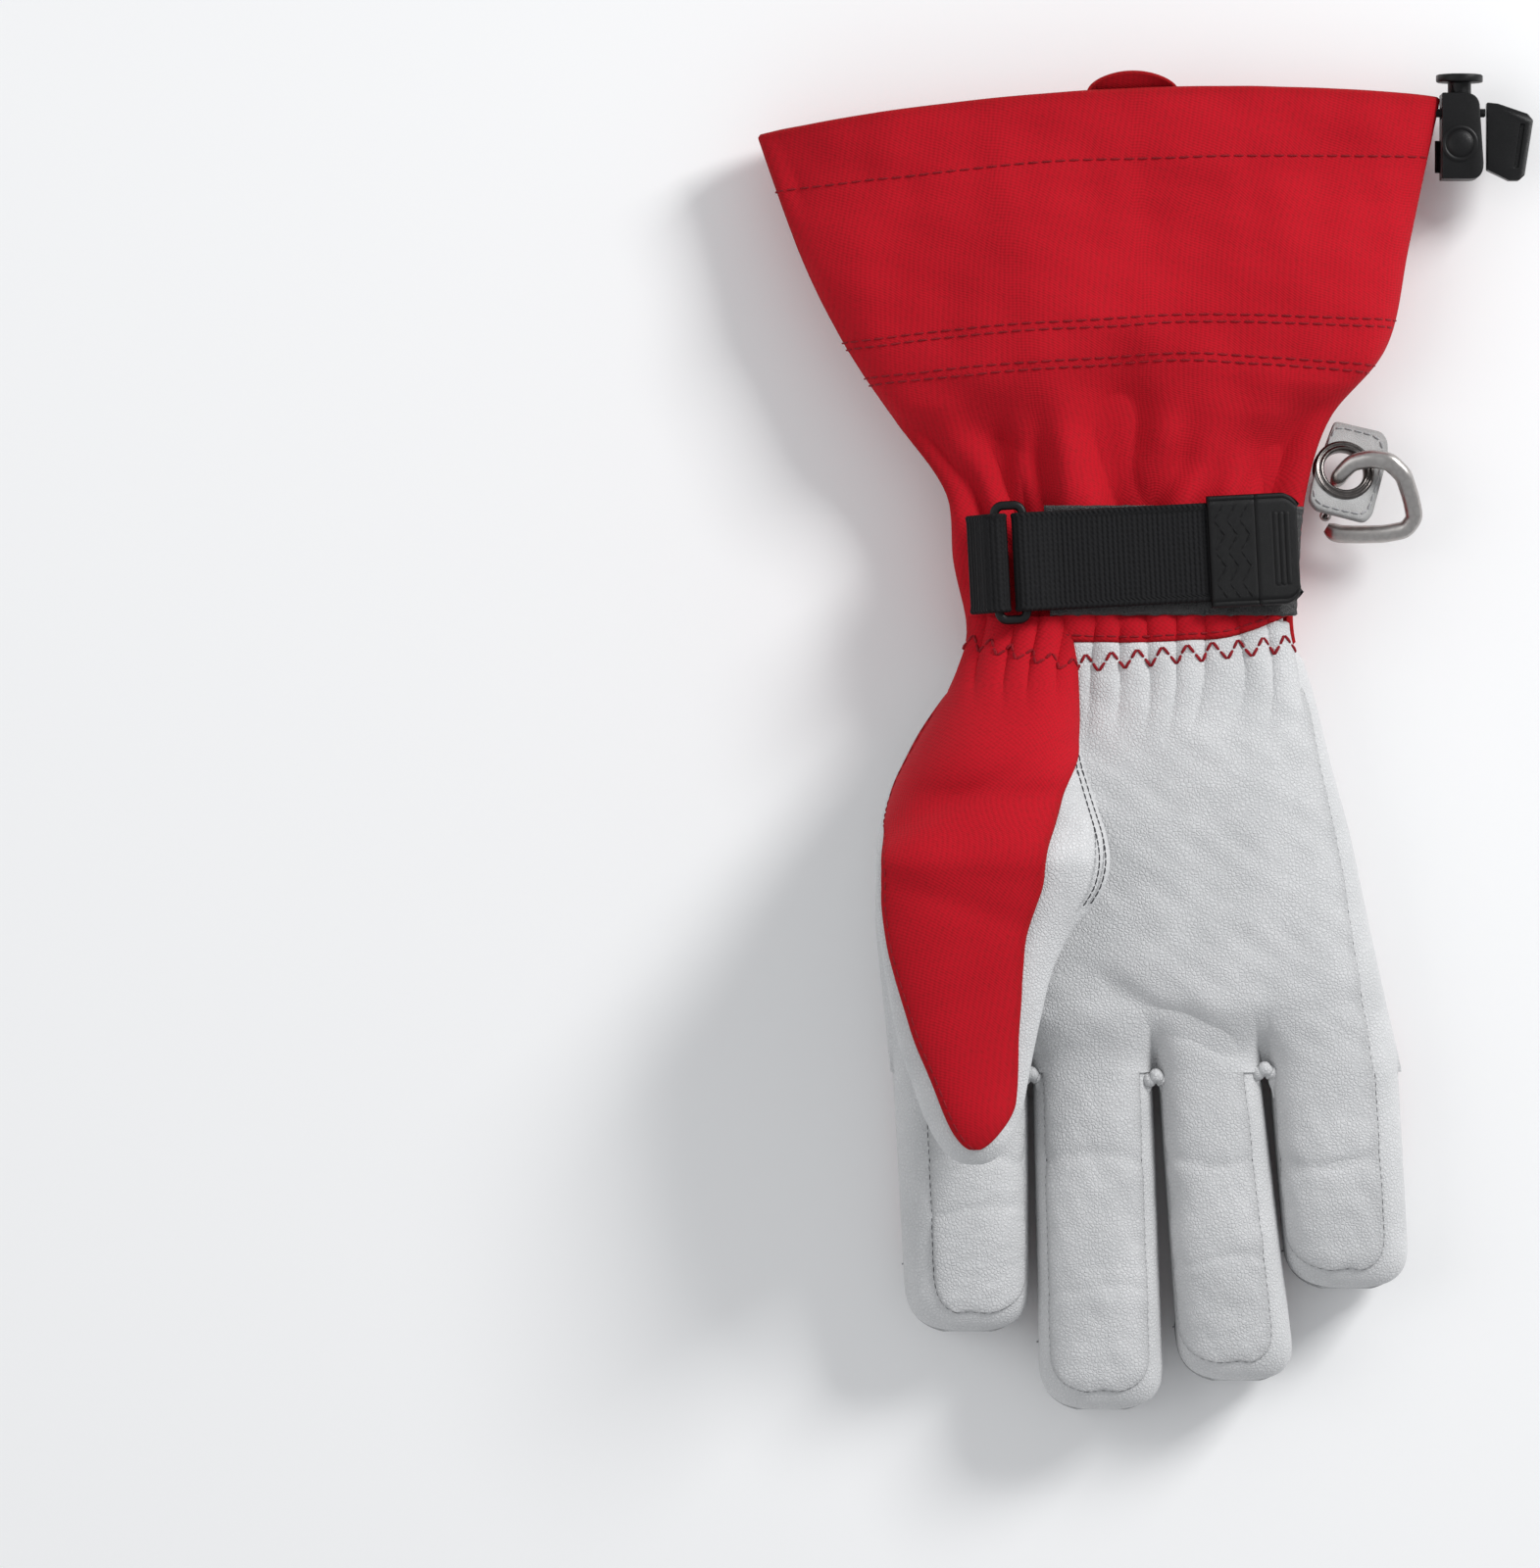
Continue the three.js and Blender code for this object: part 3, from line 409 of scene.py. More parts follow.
# %% Stations of the hand
def eased(at, stations, values, soft=6.0):
    """Straight lines between the stations, averaged over a window of `soft` mm either side."""
    order = np.argsort(stations)
    stations, values = np.asarray(stations, float)[order], np.asarray(values, float)[order]
    shifts = np.linspace(-soft, soft, 7)
    return sum(np.interp(at + shift, stations, values) for shift in shifts) / len(shifts)


def ease(value, low, high):
    """0 below low, 1 above high, and 3t^2 - 2t^3 between."""
    t = np.clip((value - low) / (high - low), 0, 1)
    return t * t * (3 - 2 * t)


HAND_Y = [-70, -66, -45, -25.4, -5, 13, 30, 46, 64, 82]
HAND_LEFT = [-65, -65.2, -67.5, -69.5, -68, -61, -50.5, -45.5, -48.8, -51]
HAND_RIGHT = [65.6, 65.3, 60.5, 56.2, 52, 47, 43, 38, 38.3, 40.2]
HAND_HALF = [13.2, 13.4, 16.2, 17.4, 17.4, 16.6, 14.8, 13.6, 13.4, 13.8]
HAND_MIDDLE = [14.8, 14.8, 15.7, 16.4, 16.4, 15.6, 15, 15, 15, 15.4]
ROUNDNESS = 2.7
# name: base x, tip x, tip y, half width at the base and near the tip
FINGERS = {
    "index": (-47.5, -45.5, -132.0, 17.2, 15.6),
    "middle": (-13.8, -11.2, -152.0, 15.2, 15.9),
    "ring": (16.0, 23.4, -144.6, 13.0, 15.0),
    "little": (47.9, 51.6, -121.0, 16.4, 15.8),
}
CROTCH = -66.0
FINGER_HALF, FINGER_MIDDLE = 12.2, 14.7
TIP_ROUND = 2.9


def ripples(x, y, length, seed):
    """Soft relief from about -1 to 1: the mean of eight sine waves, each with its own direction."""
    waves = np.random.default_rng(seed).uniform([0, 0, 0.6], [np.pi, 6.28, 1.7], (8, 3))
    total = 0
    for turn, phase, stretch in waves:
        total = total + np.sin(6.283 * (x * np.cos(turn) + y * np.sin(turn)) / (length * stretch) + phase)
    return total / 4


def hand_section(y):
    """Middle x, half width, middle height and half height of the hand at y."""
    left, right = eased(y, HAND_Y, HAND_LEFT), eased(y, HAND_Y, HAND_RIGHT)
    return (left + right) / 2, (right - left) / 2, eased(y, HAND_Y, HAND_MIDDLE), eased(y, HAND_Y, HAND_HALF)


def finger_section(name, y):
    """Middle x and half width before the tip closes, and how far y is into the rounded tip, 0 to 1."""
    base_x, tip_x, tip_y, base_half, tip_half = FINGERS[name]
    share = (y - CROTCH) / (tip_y - CROTCH)
    half = base_half + (tip_half - base_half) * share
    end = np.clip(1 - (y - tip_y) / (half * 0.82), 0, 1)
    return base_x + (tip_x - base_x) * share, half, end


def finger_point(name, across, y, side):
    """A point of a finger: side 1 is the palm, -1 the back; across runs -1 to 1 over its width.

    The tip is the same superellipse in plan, so rho^p = |across|^p + end^p, and the height over the
    middle is (1 - rho^p)^(1/p) of the finger's half height, which thins towards the tip."""
    middle, half, end = finger_section(name, y)
    reach = (1 - end**TIP_ROUND) ** (1 / TIP_ROUND)
    x = middle + across * half * reach
    rho = (np.abs(across) * reach) ** TIP_ROUND + (0.94 * end) ** TIP_ROUND
    tip_y = FINGERS[name][2]
    plump = 1 - 0.13 * (1 - ease(y, tip_y, tip_y + 34))
    height = FINGER_HALF * plump * np.clip(1 - rho, 0, 1) ** (1 / TIP_ROUND)
    drop = 1.6 * (1 - ease(y, tip_y, tip_y + 40)) * (side > 0)
    return np.stack([x, y + 0 * x, FINGER_MIDDLE - drop * 0.5 + side * height], -1)


def fingers_height(x, y, side):
    """Height of the four fingers' surface over a point of the plan, where they grow from the hand."""
    best = np.zeros_like(x)
    for name in FINGERS:
        middle, half, _ = finger_section(name, y)
        rho = np.clip(np.abs((x - middle) / half), 0, 1) ** TIP_ROUND
        best = np.maximum(best, np.maximum(1 - rho, 0) ** (1 / TIP_ROUND))
    return FINGER_MIDDLE + side * FINGER_HALF * np.maximum(best, 0.35)


def hand_point(across, y, side):
    """A point of the palm, side 1, or the back, side -1. Near the knuckles it takes the fingers' shape."""
    middle, half, level, high = hand_section(y)
    x = middle + across * half
    z = level + side * high * np.clip(1 - np.abs(across) ** ROUNDNESS, 0, 1) ** (1 / ROUNDNESS)
    grow = ease(-y, 46, 66) ** 1.5
    return np.stack([x, y + 0 * x, z * (1 - grow) + fingers_height(x, y, side) * grow], -1)


def spread(count, low=0.0, high=1.0, gather=0.35):
    """Numbers from low to high, closer together at both ends, where a sewn edge needs more points."""
    t = np.linspace(0, 1, count)
    t = (1 - gather) * t + gather * (0.5 - 0.5 * np.cos(np.pi * t))
    return low + (high - low) * t


def raise_relief(points, facing, relief):
    """Moves a grid along its own normals by relief, in mm."""
    return points + grid_normals(points, facing) * relief[..., None]


# %% [markdown]
# ## Core of the hand
# Under the palm and the back, white leather runs round the outer edges. It is one closed tube; the palm
# and back panels are laid over it, each with its edge turned under, which gives the sunk seams. It is
# sunk where a panel covers it, so that it never shows in a fold.

# %% Hand core
def tube_ring(point, ys, columns):
    """Rings of a body with a palm side and a back side, at each y, from a function point(across, y, side)."""
    half_turn = np.cos(np.linspace(0, np.pi, columns // 2 + 1))
    y = np.asarray(ys)[:, None]
    palm = point(np.broadcast_to(half_turn, (len(ys), len(half_turn))), y, 1)
    back = point(np.broadcast_to(half_turn[::-1], (len(ys), len(half_turn))), y, -1)
    return np.concatenate([palm[:, :-1], back[:, :-1]], 1)


def core_point(across, y, side):
    """The hand's own point, sunk where a panel covers it and at the wrist, and kept above the floor."""
    p = hand_point(across, y, side)
    middle, half, level, high = hand_section(y)
    under = ease(y, 38, 47)
    covered = (1 - ease(np.abs(across), 0.68, 0.88)) * ease(y, -62, -40)
    x = middle + (p[..., 0] - middle) * (1 - 3.2 * under / half)
    z = level + (p[..., 2] - level) * (1 - (4.0 * under + 2.4 * covered) / high)
    return np.stack([x, p[..., 1], np.maximum(z, 0.5)], -1)


hand_core = closed_tube("hand_core", tube_ring(core_point, np.linspace(-66, 50, 90), 160), white_leather)
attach(hand_core, "hand")
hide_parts("outer_side_panel", "index_side_panel", "fourchette_index_middle",
            "fourchette_middle_ring", "fourchette_ring_little")
print("hand core", len(hand_core.data.vertices), "points")

# %% [markdown]
# ## Palm
# The palm is one soft skin from the wrist to the roots of the fingers. It is pulled together at the
# wrist by elastic, so folds run into it from there, and it creases lightly across the knuckles.

# %% Palm panel
PALM_LEFT = ([-66, -40, 20, 47], [0.870, 0.93, 0.95, 0.95])
PALM_RIGHT = ([-66, -42, -17, 7, 47], [0.885, 0.907, 0.93, 0.94, 0.955])


def gathers(x, y, period, seed):
    """Folds that run along Y: rounded crests with sharp valleys, 0 on a crest and -1 in a valley."""
    wander = 0.35 * period * ripples(x, y, 70, seed) + 0.25 * period * ripples(x, y, 28, seed + 1)
    return -((1 - np.abs(np.sin(np.pi * (x + wander) / period))) ** 1.4)


def wrist_gather(x, y):
    """The folds that the wrist's elastic pulls into every layer, so that one layer lies in the other."""
    return gathers(x, y, 7.4, 3) * 1.3 * ease(y, 14, 42)


def hand_grid(left, right, low, high, columns, rows, side):
    """A panel of the hand between two seams, whose places across are given along Y."""
    y = spread(rows, low, high)[:, None]
    edge_a = -eased(y, *left, soft=4)
    edge_b = eased(y, *right, soft=4)
    t = np.linspace(0, 1, columns)[None, :]
    a, b = np.arccos(edge_a), np.arccos(edge_b)
    return hand_point(np.cos(a + (b - a) * t), y, side)


def red_edge_row(x):
    """The row of the cuff's lower edge on the palm side: it climbs towards the little finger."""
    y = eased(x, [-46, -30, -21, -2, 20, 30, 38], [46, 44.5, 43.6, 43.2, 44.5, 47.5, 51], 3)
    return 6 + (y - 46) / 17


def palm_relief(p):
    """Gathers at the wrist, soft creases over the palm and a few across the knuckles."""
    x, y = p[..., 0], p[..., 1]
    wrist = wrist_gather(x, y)
    soft = 0.30 * ripples(x, y, 26, 11) + 0.16 * ripples(x, y * 1.6, 11, 12)
    hollow = -1.6 * np.exp(-(((x - 12) / 30) ** 2) - (((y + 16) / 26) ** 2))
    fold_y = -44 - 0.47 * (x + 12)
    fold = -1.7 * np.exp(-(((y - fold_y) / 5.0) ** 2)) * ease(x, -24, -8) * (1 - ease(x, 18, 30))
    past_line = (y + 50 + 3 * np.sin(x / 13)) / 3.0
    knuckle = -0.5 * np.exp(-(past_line**2)) * (0.6 + 0.4 * ripples(x, y, 30, 5))
    edge_y = 46 + 17 * (red_edge_row(x) - 6)
    tucked = -2.6 * ease(y, edge_y - 0.6, edge_y + 1.2)
    return (wrist + soft + hollow + fold + knuckle) * ease(y, CROTCH, CROTCH + 9) ** 0.5 + tucked


palm = hand_grid(PALM_LEFT, PALM_RIGHT, CROTCH, 49, 190, 150, 1)
palm = raise_relief(palm, (0, 0, 1), palm_relief(palm))
palm_panel = sewn_piece("palm_leather", palm, white_leather, (0, 0, 1), lift=0.7, sewn="lrt")
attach(palm_panel, "hand")
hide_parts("palm_panel")
print("palm", len(palm_panel.data.vertices), "points")

# %% Back of the hand
BACK_LEFT = ([-66, -48, 20, 50], [0.905, 0.83, 0.84, 0.88])
BACK_RIGHT = ([-66, -48, 20, 50], [0.95, 0.85, 0.84, 0.88])
back = hand_grid(BACK_LEFT, BACK_RIGHT, CROTCH, 50, 170, 140, -1)
bx, by = back[..., 0], back[..., 1]
back_relief = gathers(bx, by, 7.0, 33) * 1.4 * ease(by, 16, 44) + 0.22 * ripples(bx, by, 24, 34)
back_relief = back_relief - 0.8 * np.exp(-(((by - 5 - 0.05 * bx) / 1.1) ** 2))
back = raise_relief(back, (0, 0, -1), back_relief * ease(by, CROTCH, CROTCH + 9) ** 0.5)
back[..., 2] = np.maximum(back[..., 2], 0.9)
hand_back = sewn_piece("hand_back_canvas", back, red_canvas, (0, 0, -1), lift=0.7, sewn="lrt")
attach(hand_back, "hand")
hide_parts("hand_back_panel")
print("back", len(hand_back.data.vertices), "points")

# %% [markdown]
# ## Fingers
# Each finger is a closed leather tube with three pieces laid on it: the palm piece, the red back and a
# leather cap over the back of the tip. They cross the joint. The palm piece is narrower than the finger:
# the strips that show beside it are the side walls.

# %% Finger pieces
FINGER_START = CROTCH
# name: how far the palm piece reaches to the left and to the right, as shares of the half width
PALM_PIECE = {"index": (0.55, 0.93), "middle": (0.84, 0.78), "ring": (0.95, 0.66), "little": (0.95, 0.62)}
TIP_CAP = {"index": 18.0, "middle": 18.0, "ring": 14.5, "little": 10.5}
finger_bodies = {}


def bends(piece, finger, slot, *nodes):
    """Bakes the piece's placement into its mesh and hides the CAD nodes that it stands for; finger is not
    used.
    """
    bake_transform(piece)
    if nodes:
        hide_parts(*nodes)
    return piece


def finger_patch(name, left, right, low, high, tip_gap, side, columns=44, rows=100):
    """A piece laid on a finger from y = high to low; near the tip its sides close as the finger's do."""
    y = high + (low - high) * (1 - (1 - np.linspace(0, 1, rows)) ** 1.7)[:, None]
    _, half, end = finger_section(name, y)
    tip_y = FINGERS[name][2]
    closing = np.clip(1 - (y - (tip_y + tip_gap)) / (half * 0.7), 0, 1)
    narrow = (1 - closing**2.7) ** (1 / 2.7)
    reach = np.maximum((1 - end**TIP_ROUND) ** (1 / TIP_ROUND), 0.05)
    a = np.cos(np.linspace(np.pi - np.arccos(left), np.arccos(right), columns))[None, :]
    a = np.clip(a * narrow / reach, -0.985, 0.985)
    return finger_point(name, a, y, side)


def finger_relief(p, name, side):
    """Soft creases, cross folds at the finger's bend and fine puckers round the tip."""
    x, y = p[..., 0], p[..., 1]
    tip_y, seed = FINGERS[name][2], len(name) + (side > 0)
    soft = 0.22 * ripples(x, y, 17, seed) + 0.10 * ripples(x, y * 1.5, 7, seed + 40)
    cross = -0.45 * np.exp(-(((y + 88 + 1.6 * np.sin(x / 6 + seed)) / 1.7) ** 2))
    cross = cross - 0.3 * np.exp(-(((y - tip_y - 31 + 1.2 * np.sin(x / 5)) / 1.6) ** 2))
    return (soft + cross * (1.0 if side > 0 else 0.4)) * ease(-y, -CROTCH, -CROTCH + 8)


for name, (base_x, tip_x, tip_y, base_half, tip_half) in FINGERS.items():
    ys = tip_y + (FINGER_START - tip_y) * np.linspace(0, 1, 96) ** 1.6
    rings = tube_ring(lambda a, y, s: finger_point(name, a, y, s), ys, 72)
    core = bends(closed_tube(name + "_core", rings, white_leather), name, "leather",
                 name + "_side_wall", name + "_lining")
    left, right = PALM_PIECE[name]
    front = finger_patch(name, left, right, tip_y + 4.8, FINGER_START, 4.6, 1)
    front = raise_relief(front, (0, 0, 1), finger_relief(front, name, 1))
    bends(sewn_piece(name + "_palm_leather", front, white_leather, (0, 0, 1), lift=0.7, sewn="lrt"),
          name, "leather", name + "_palm_piece")
    rear = finger_patch(name, 0.72, 0.72, tip_y + 2.6, FINGER_START, 2.4, -1)
    rear = raise_relief(rear, (0, 0, -1), finger_relief(rear, name, -1))
    rear[..., 2] = np.maximum(rear[..., 2], 1.6)
    bends(sewn_piece(name + "_back_canvas", rear, red_canvas, (0, 0, -1), lift=0.7, sewn="lrt"),
          name, "shell_fabric", name + "_back_piece")
    finger_bodies[name] = (front, rear)
print("fingers:", ", ".join(finger_bodies))

# %% [markdown]
# ## Caps and loop on the backs of the fingers
# The back of each fingertip is covered by a white leather cap over the red, and the little finger
# carries a flat leather loop. Both are thin pieces laid over the canvas, so they stand a little proud.

# %% Tip caps and the finger loop
LOOP_ENDS = (-110.5, -92.0)


def back_strip(name, low, high, reach, rows=40):
    """A strip over the back of a finger between two heights, its low edge curved as a smile."""
    a = np.cos(np.linspace(np.pi - np.arccos(reach), np.arccos(reach), 44))[None, :]
    bow = 2.2 * (1 - (a / reach) ** 2)
    y = low + (high + bow - low) * (np.linspace(0, 1, rows)[:, None] ** 1.3)
    y = np.maximum(y, FINGERS[name][2] + 0.4)
    p = finger_point(name, a, y, -1)
    p[..., 2] = np.maximum(p[..., 2], 2.4 + 0 * p[..., 2])
    return p


for name, length in TIP_CAP.items():
    tip_y = FINGERS[name][2]
    cap = back_strip(name, tip_y + 0.5, tip_y + length, 0.93)
    bends(sewn_piece(name + "_cap_leather", cap, white_leather, (0, 0, -1), lift=1.6, thick=1.5, sewn="lrt"),
          name, "leather", name + "_tip_cap")
loop = back_strip("little", *LOOP_ENDS, 0.9)
bends(sewn_piece("little_loop_leather", loop, white_leather, (0, 0, -1), lift=1.6, thick=1.5, sewn="lrbt"),
      "little", "leather", "little_finger_loop")
print("caps and loop laid on")

# %% [markdown]
# ## Thumb
# The thumb lies across the palm. Its outline is known along Y on both sides; its section is an oval that
# flattens into an arch over the wrist, where it grows out of the hand. A leather tube is the core, and
# the red canvas runs over it from the wrist to the tip.

# %% Thumb surface
THUMB_Y = [-89, -80, -73, -58, -40, -30, -21.8, -15.3, -7.5, 5.4, 14.5, 20.8, 32, 44, 50]
THUMB_LEFT = [-55.5, -56.8, -58.6, -63.8, -67.2, -68.8, -69.4, -69.5, -69.2, -66, -61.6, -58.3, -50.2, -45.6,
              -45.8]
THUMB_RIGHT = [-34, -33.2, -32, -29.2, -25.2, -20.5, -13.0, -10.2, -10.3, -14.3, -17.2, -17.8, -17.9, -18.6,
               -18.8]
THUMB_TIP = -88.4
ARCH = ([-40, -25, -16, -8, 0, 9.5, 18, 27, 36, 44, 50],
        [11, 11, 11.4, 13.5, 18, 21.5, 19, 13, 6.5, 1.6, 0.6])


def thumb_section(y):
    """Middle x, half width, and how far y is into the rounded tip."""
    left, right = eased(y, THUMB_Y, THUMB_LEFT, 4), eased(y, THUMB_Y, THUMB_RIGHT, 4)
    return (left + right) / 2, (right - left) / 2, np.clip(1 - (y - THUMB_TIP) / 19.0, 0, 1)


def hand_top(x, y):
    """Height of the palm side of the hand over a point of the plan."""
    middle, half, level, high = hand_section(y)
    a = np.clip(np.abs(x - middle) / half, 0, 1)
    return level + high * (1 - a**ROUNDNESS) ** (1 / ROUNDNESS)


def thumb_point(across, y, side):
    """A point of the thumb; side 1 is its back, which faces up. Over the wrist it stands on the hand."""
    middle, half, end = thumb_section(y)
    reach = (1 - end**2.4) ** (1 / 2.4)
    x = middle + across * half * reach
    rho = np.clip((np.abs(across) * reach) ** 2.4 + (0.92 * end) ** 2.4, 0, 1)
    rise = (1 - rho) ** (1 / 2.4)
    root = ease(y, -14, 7)
    edge = 47 * (1 - root) + (hand_top(x, y) - 0.4) * root
    high = eased(y, *ARCH, soft=4)
    return np.stack([x, y + 0 * x, edge + (high * rise if side > 0 else -11 * rise * (1 - 0.7 * root))], -1)


def thumb_bends(piece, slot, *nodes):
    """Bakes the piece's placement into its mesh and hides the CAD nodes that it stands for."""
    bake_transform(piece)
    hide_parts(*nodes)
    return piece


ys = THUMB_TIP + (22 - THUMB_TIP) * np.linspace(0, 1, 110) ** 1.4
thumb_rings = tube_ring(thumb_point, ys, 84)
under_canvas = ease(thumb_rings[..., 2], 48, 55) * ease(thumb_rings[..., 1], -84, -76)
thumb_rings[..., 2] -= 1.9 * np.maximum(under_canvas, ease(thumb_rings[..., 1], 9, 14))
thumb_skin = thumb_bends(closed_tube("thumb_leather_core", thumb_rings, white_leather), "leather",
                         "thumb_leather", "thumb_gusset", "thumb_lining")

# %% Red back of the thumb
RED_LEFT = ([-84, -72, -57, -40, -26, 50], [0.50, 0.62, 0.78, 0.90, 0.955, 0.975])
RED_RIGHT = ([-84, -77, -71, -58, -40, -25, -10, 5.5, 13, 18, 50],
             [0.60, 0.82, 0.84, 0.74, 0.655, 0.47, 0.43, 0.70, 0.93, 0.985, 0.985])
THUMB_RED_TIP = -84.6


def thumb_red(columns=90, rows=190, inset=0.0):
    """The red piece's grid; inset, in mm, draws a line that far inside its edges."""
    y = spread(rows, THUMB_RED_TIP + inset, 50)[:, None]
    _, half, end = thumb_section(y)
    reach = np.maximum((1 - end**2.4) ** (1 / 2.4), 0.2)
    closing = np.clip(1 - (y - THUMB_RED_TIP - inset) / 13.0, 0, 1)
    narrow = (1 - closing**2.2) ** (1 / 2.2) / reach
    left = (eased(y, *RED_LEFT, soft=4) - inset / half) * narrow
    right = (eased(y, *RED_RIGHT, soft=4) - inset / half) * narrow
    a = np.arccos(np.clip(-left, -0.99, 0.99))
    b = np.arccos(np.clip(right, -0.99, 0.99))
    return thumb_point(np.cos(a + (b - a) * np.linspace(0, 1, columns)[None, :]), y, 1)


def thumb_relief(p):
    """Gathers at the wrist, slack folds over the root and a soft unevenness along the thumb."""
    x, y = p[..., 0], p[..., 1]
    wrist = wrist_gather(x, y) * ease(y, 20, 40)
    slack = 0.7 * ripples(x + 0.5 * y, y * 0.6, 34, 22) * ease(y, -40, 10) + 0.3 * ripples(x, y, 20, 23)
    crease = -0.9 * np.exp(-(((y - 8 - 0.5 * (x + 40)) / 3.2) ** 2))
    crease = crease - 0.7 * np.exp(-(((y + 24 + 0.3 * (x + 45)) / 4) ** 2))
    return wrist + np.maximum(slack + crease, -1.2)


red_grid = thumb_red()
from_edge = np.sin(np.pi * np.linspace(0, 1, red_grid.shape[1]))[None, :] ** 0.4
red_grid = raise_relief(
    red_grid, (0, 0, 1), thumb_relief(red_grid) * np.maximum(from_edge, ease(red_grid[..., 1], 22, 34))
)
thumb_canvas = sewn_piece("thumb_canvas", red_grid, red_canvas, (0, 0, 1), lift=0.8, sewn="lrb")
thumb_bends(thumb_canvas, "shell_fabric", "thumb_back_piece", "thumb_root_panel")
print("thumb", len(thumb_canvas.data.vertices), "points of canvas")

# %% [markdown]
# ## Wrist and gauntlet
# The cuff is two canvas panels, palm side and back, sewn together down both edges. It narrows under the
# strap and flares to the hem. The strap pulls it in, so a few deep folds start at the strap and die out
# as the cuff widens. Each fold is a valley along its own line, deepest at the strap.
# For both panels the size and the area of the cloth along their grids are worked out and printed.

# %% Cuff surface
CUFF_ROWS = np.array([
    [-50.5, 30, 43, 30, 15, 15, 2.7], [-45.5, 46, 38, 46, 13.8, 15, 2.8],
    [-48.8, 64, 38.3, 64, 13.5, 15, 2.8],
    [-51, 82, 40.2, 82, 14, 15.4, 2.6], [-63.8, 100.3, 46.6, 101.5, 14.5, 15.8, 2.4],
    [-76.8, 119.5, 61, 120, 15, 15.6, 2.3], [-88.3, 142.8, 66.8, 146, 15, 15, 2.2],
    [-99.3, 173.3, 74.8, 183, 15, 13.8, 2.2]])
FIRST_ROW, LAST_ROW = 5, 12


def cuff_point(angle, row):
    """A point of the cuff: angle 0 is the little finger's edge, 90 the palm, 180 the thumb's, 270 the back.

    Each station holds both edges, half height, middle height and the power of its superellipse, and a
    Catmull-Rom curve runs through the stations."""
    row, angle = np.broadcast_arrays(np.asarray(row, float), np.asarray(angle, float))
    s = np.clip(row, FIRST_ROW, LAST_ROW) - FIRST_ROW
    i = np.minimum(s.astype(int), len(CUFF_ROWS) - 2)
    t = (s - i)[..., None]
    a, b, c, d = (CUFF_ROWS[np.clip(i + k, 0, len(CUFF_ROWS) - 1)] for k in (-1, 0, 1, 2))
    key = 0.5 * (2 * b + (c - a) * t + (2 * a - 5 * b + 4 * c - d) * t**2 + (3 * b - a - 3 * c + d) * t**3)
    left, left_y, right, right_y, half, middle, power = np.moveaxis(key, -1, 0)
    cos, sin = np.cos(np.radians(angle)), np.sin(np.radians(angle))
    across = np.sign(cos) * np.abs(cos) ** (2 / power)
    up = np.sign(sin) * np.abs(sin) ** (2 / power)
    x = (left + right) / 2 + across * (right - left) / 2
    bow = 6 * ease(row, 8, 12) * (1 - across**2)
    y = left_y + (right_y - left_y) * (0.5 + 0.5 * across) + bow
    return np.stack([x, y, np.maximum(middle + half * up, 1.7)], -1)


# x at the strap, x where the fold dies, y where it dies, depth, width
FOLDS = [(-43, -58, 104, 2.6, 4.0), (-33.5, -47, 112, 4.6, 5.0), (-26, -31, 116, 2.6, 4.0),
         (-5.5, -10, 126, 5.2, 6.0),
         (3, 14, 114, 2.6, 4.6), (15, 29, 112, 2.6, 5.0), (31, 45, 110, 4.2, 5.0), (23, 31, 102, 2.0, 3.4)]


FOLD_STRENGTH, DEEPEST_FOLD = 1.8, -7.0


def cuff_relief(p, seed):
    """The folds from the strap, short pleats under it, slow waves in the canvas and the hem's small pull."""
    x, y = p[..., 0], p[..., 1]
    total = 1.3 * ripples(x, y, 60, seed) * ease(y, 80, 110) * (1 - 0.9 * ease(y, 162, 184))
    total = total + 0.16 * ripples(x, y, 13, seed + 1)
    for start, finish_x, finish_y, depth, width in FOLDS:
        share = np.clip((y - 76) / (finish_y - 76), -0.4, 1)
        line = start + (finish_x - start) * share + 1.2 * np.sin(y / 9 + start)
        wide = width * (0.9 + 1.5 * np.clip(share, 0, 1))
        valley = depth * np.exp(-(((x - line) / wide) ** 2))
        total = total - valley * (1 - ease(share, 0.3, 1.15)) * ease(y, 40, 60)
    pleats = 0.9 * ripples(x * 1.6, y * 0.5, 15, seed + 2) * (1 - ease(y, 82, 112))
    total = np.maximum(FOLD_STRENGTH * total, DEEPEST_FOLD) + pleats
    at_edge = 1 - ease(y, 47, 60)
    total = total * (1 - at_edge) + wrist_gather(x, y) * at_edge
    return total - 0.35 * np.exp(-(((y - 160) / 8) ** 2)) * (0.5 + 0.5 * ripples(x, y, 14, seed + 4))


def cut_size(grid):
    """The width and length, and the area, in metres, of the cloth that lies along a grid."""
    across, along = run_length(grid, 1)[:, -1].max() * MM, run_length(grid, 0)[-1].max() * MM
    a, b = np.diff(grid, axis=0)[:, :-1], np.diff(grid, axis=1)[:-1]
    return (across, along), np.linalg.norm(np.cross(a, b), axis=-1).sum() * MM**2


columns, rows = 236, 200
angle = np.linspace(174, 3, columns)[None, :]
start_x = cuff_point(angle, np.full((1, 1), 6.0))[..., 0]
row = red_edge_row(start_x) + (LAST_ROW - red_edge_row(start_x)) * spread(rows, gather=0.2)[:, None]
cuff_palm = cuff_point(angle, row)
at_sides = ease(angle, 3, 24) * (1 - ease(angle, 158, 174))
cuff_palm = raise_relief(cuff_palm, (0, 0, 1), cuff_relief(cuff_palm, 51) * at_sides)
palm_cuff = sewn_piece("cuff_palm_canvas", cuff_palm, red_canvas, (0, 0, 1), lift=0.9, thick=2.2, sewn="lrbt")
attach(palm_cuff, "hand")
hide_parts("wrist_palm_panel", "gauntlet_palm_panel")
angle = np.linspace(183, 354, columns)[None, :]
row = 5.85 + (LAST_ROW - 5.85) * spread(rows, gather=0.2)[:, None]
cuff_back = cuff_point(angle, row)
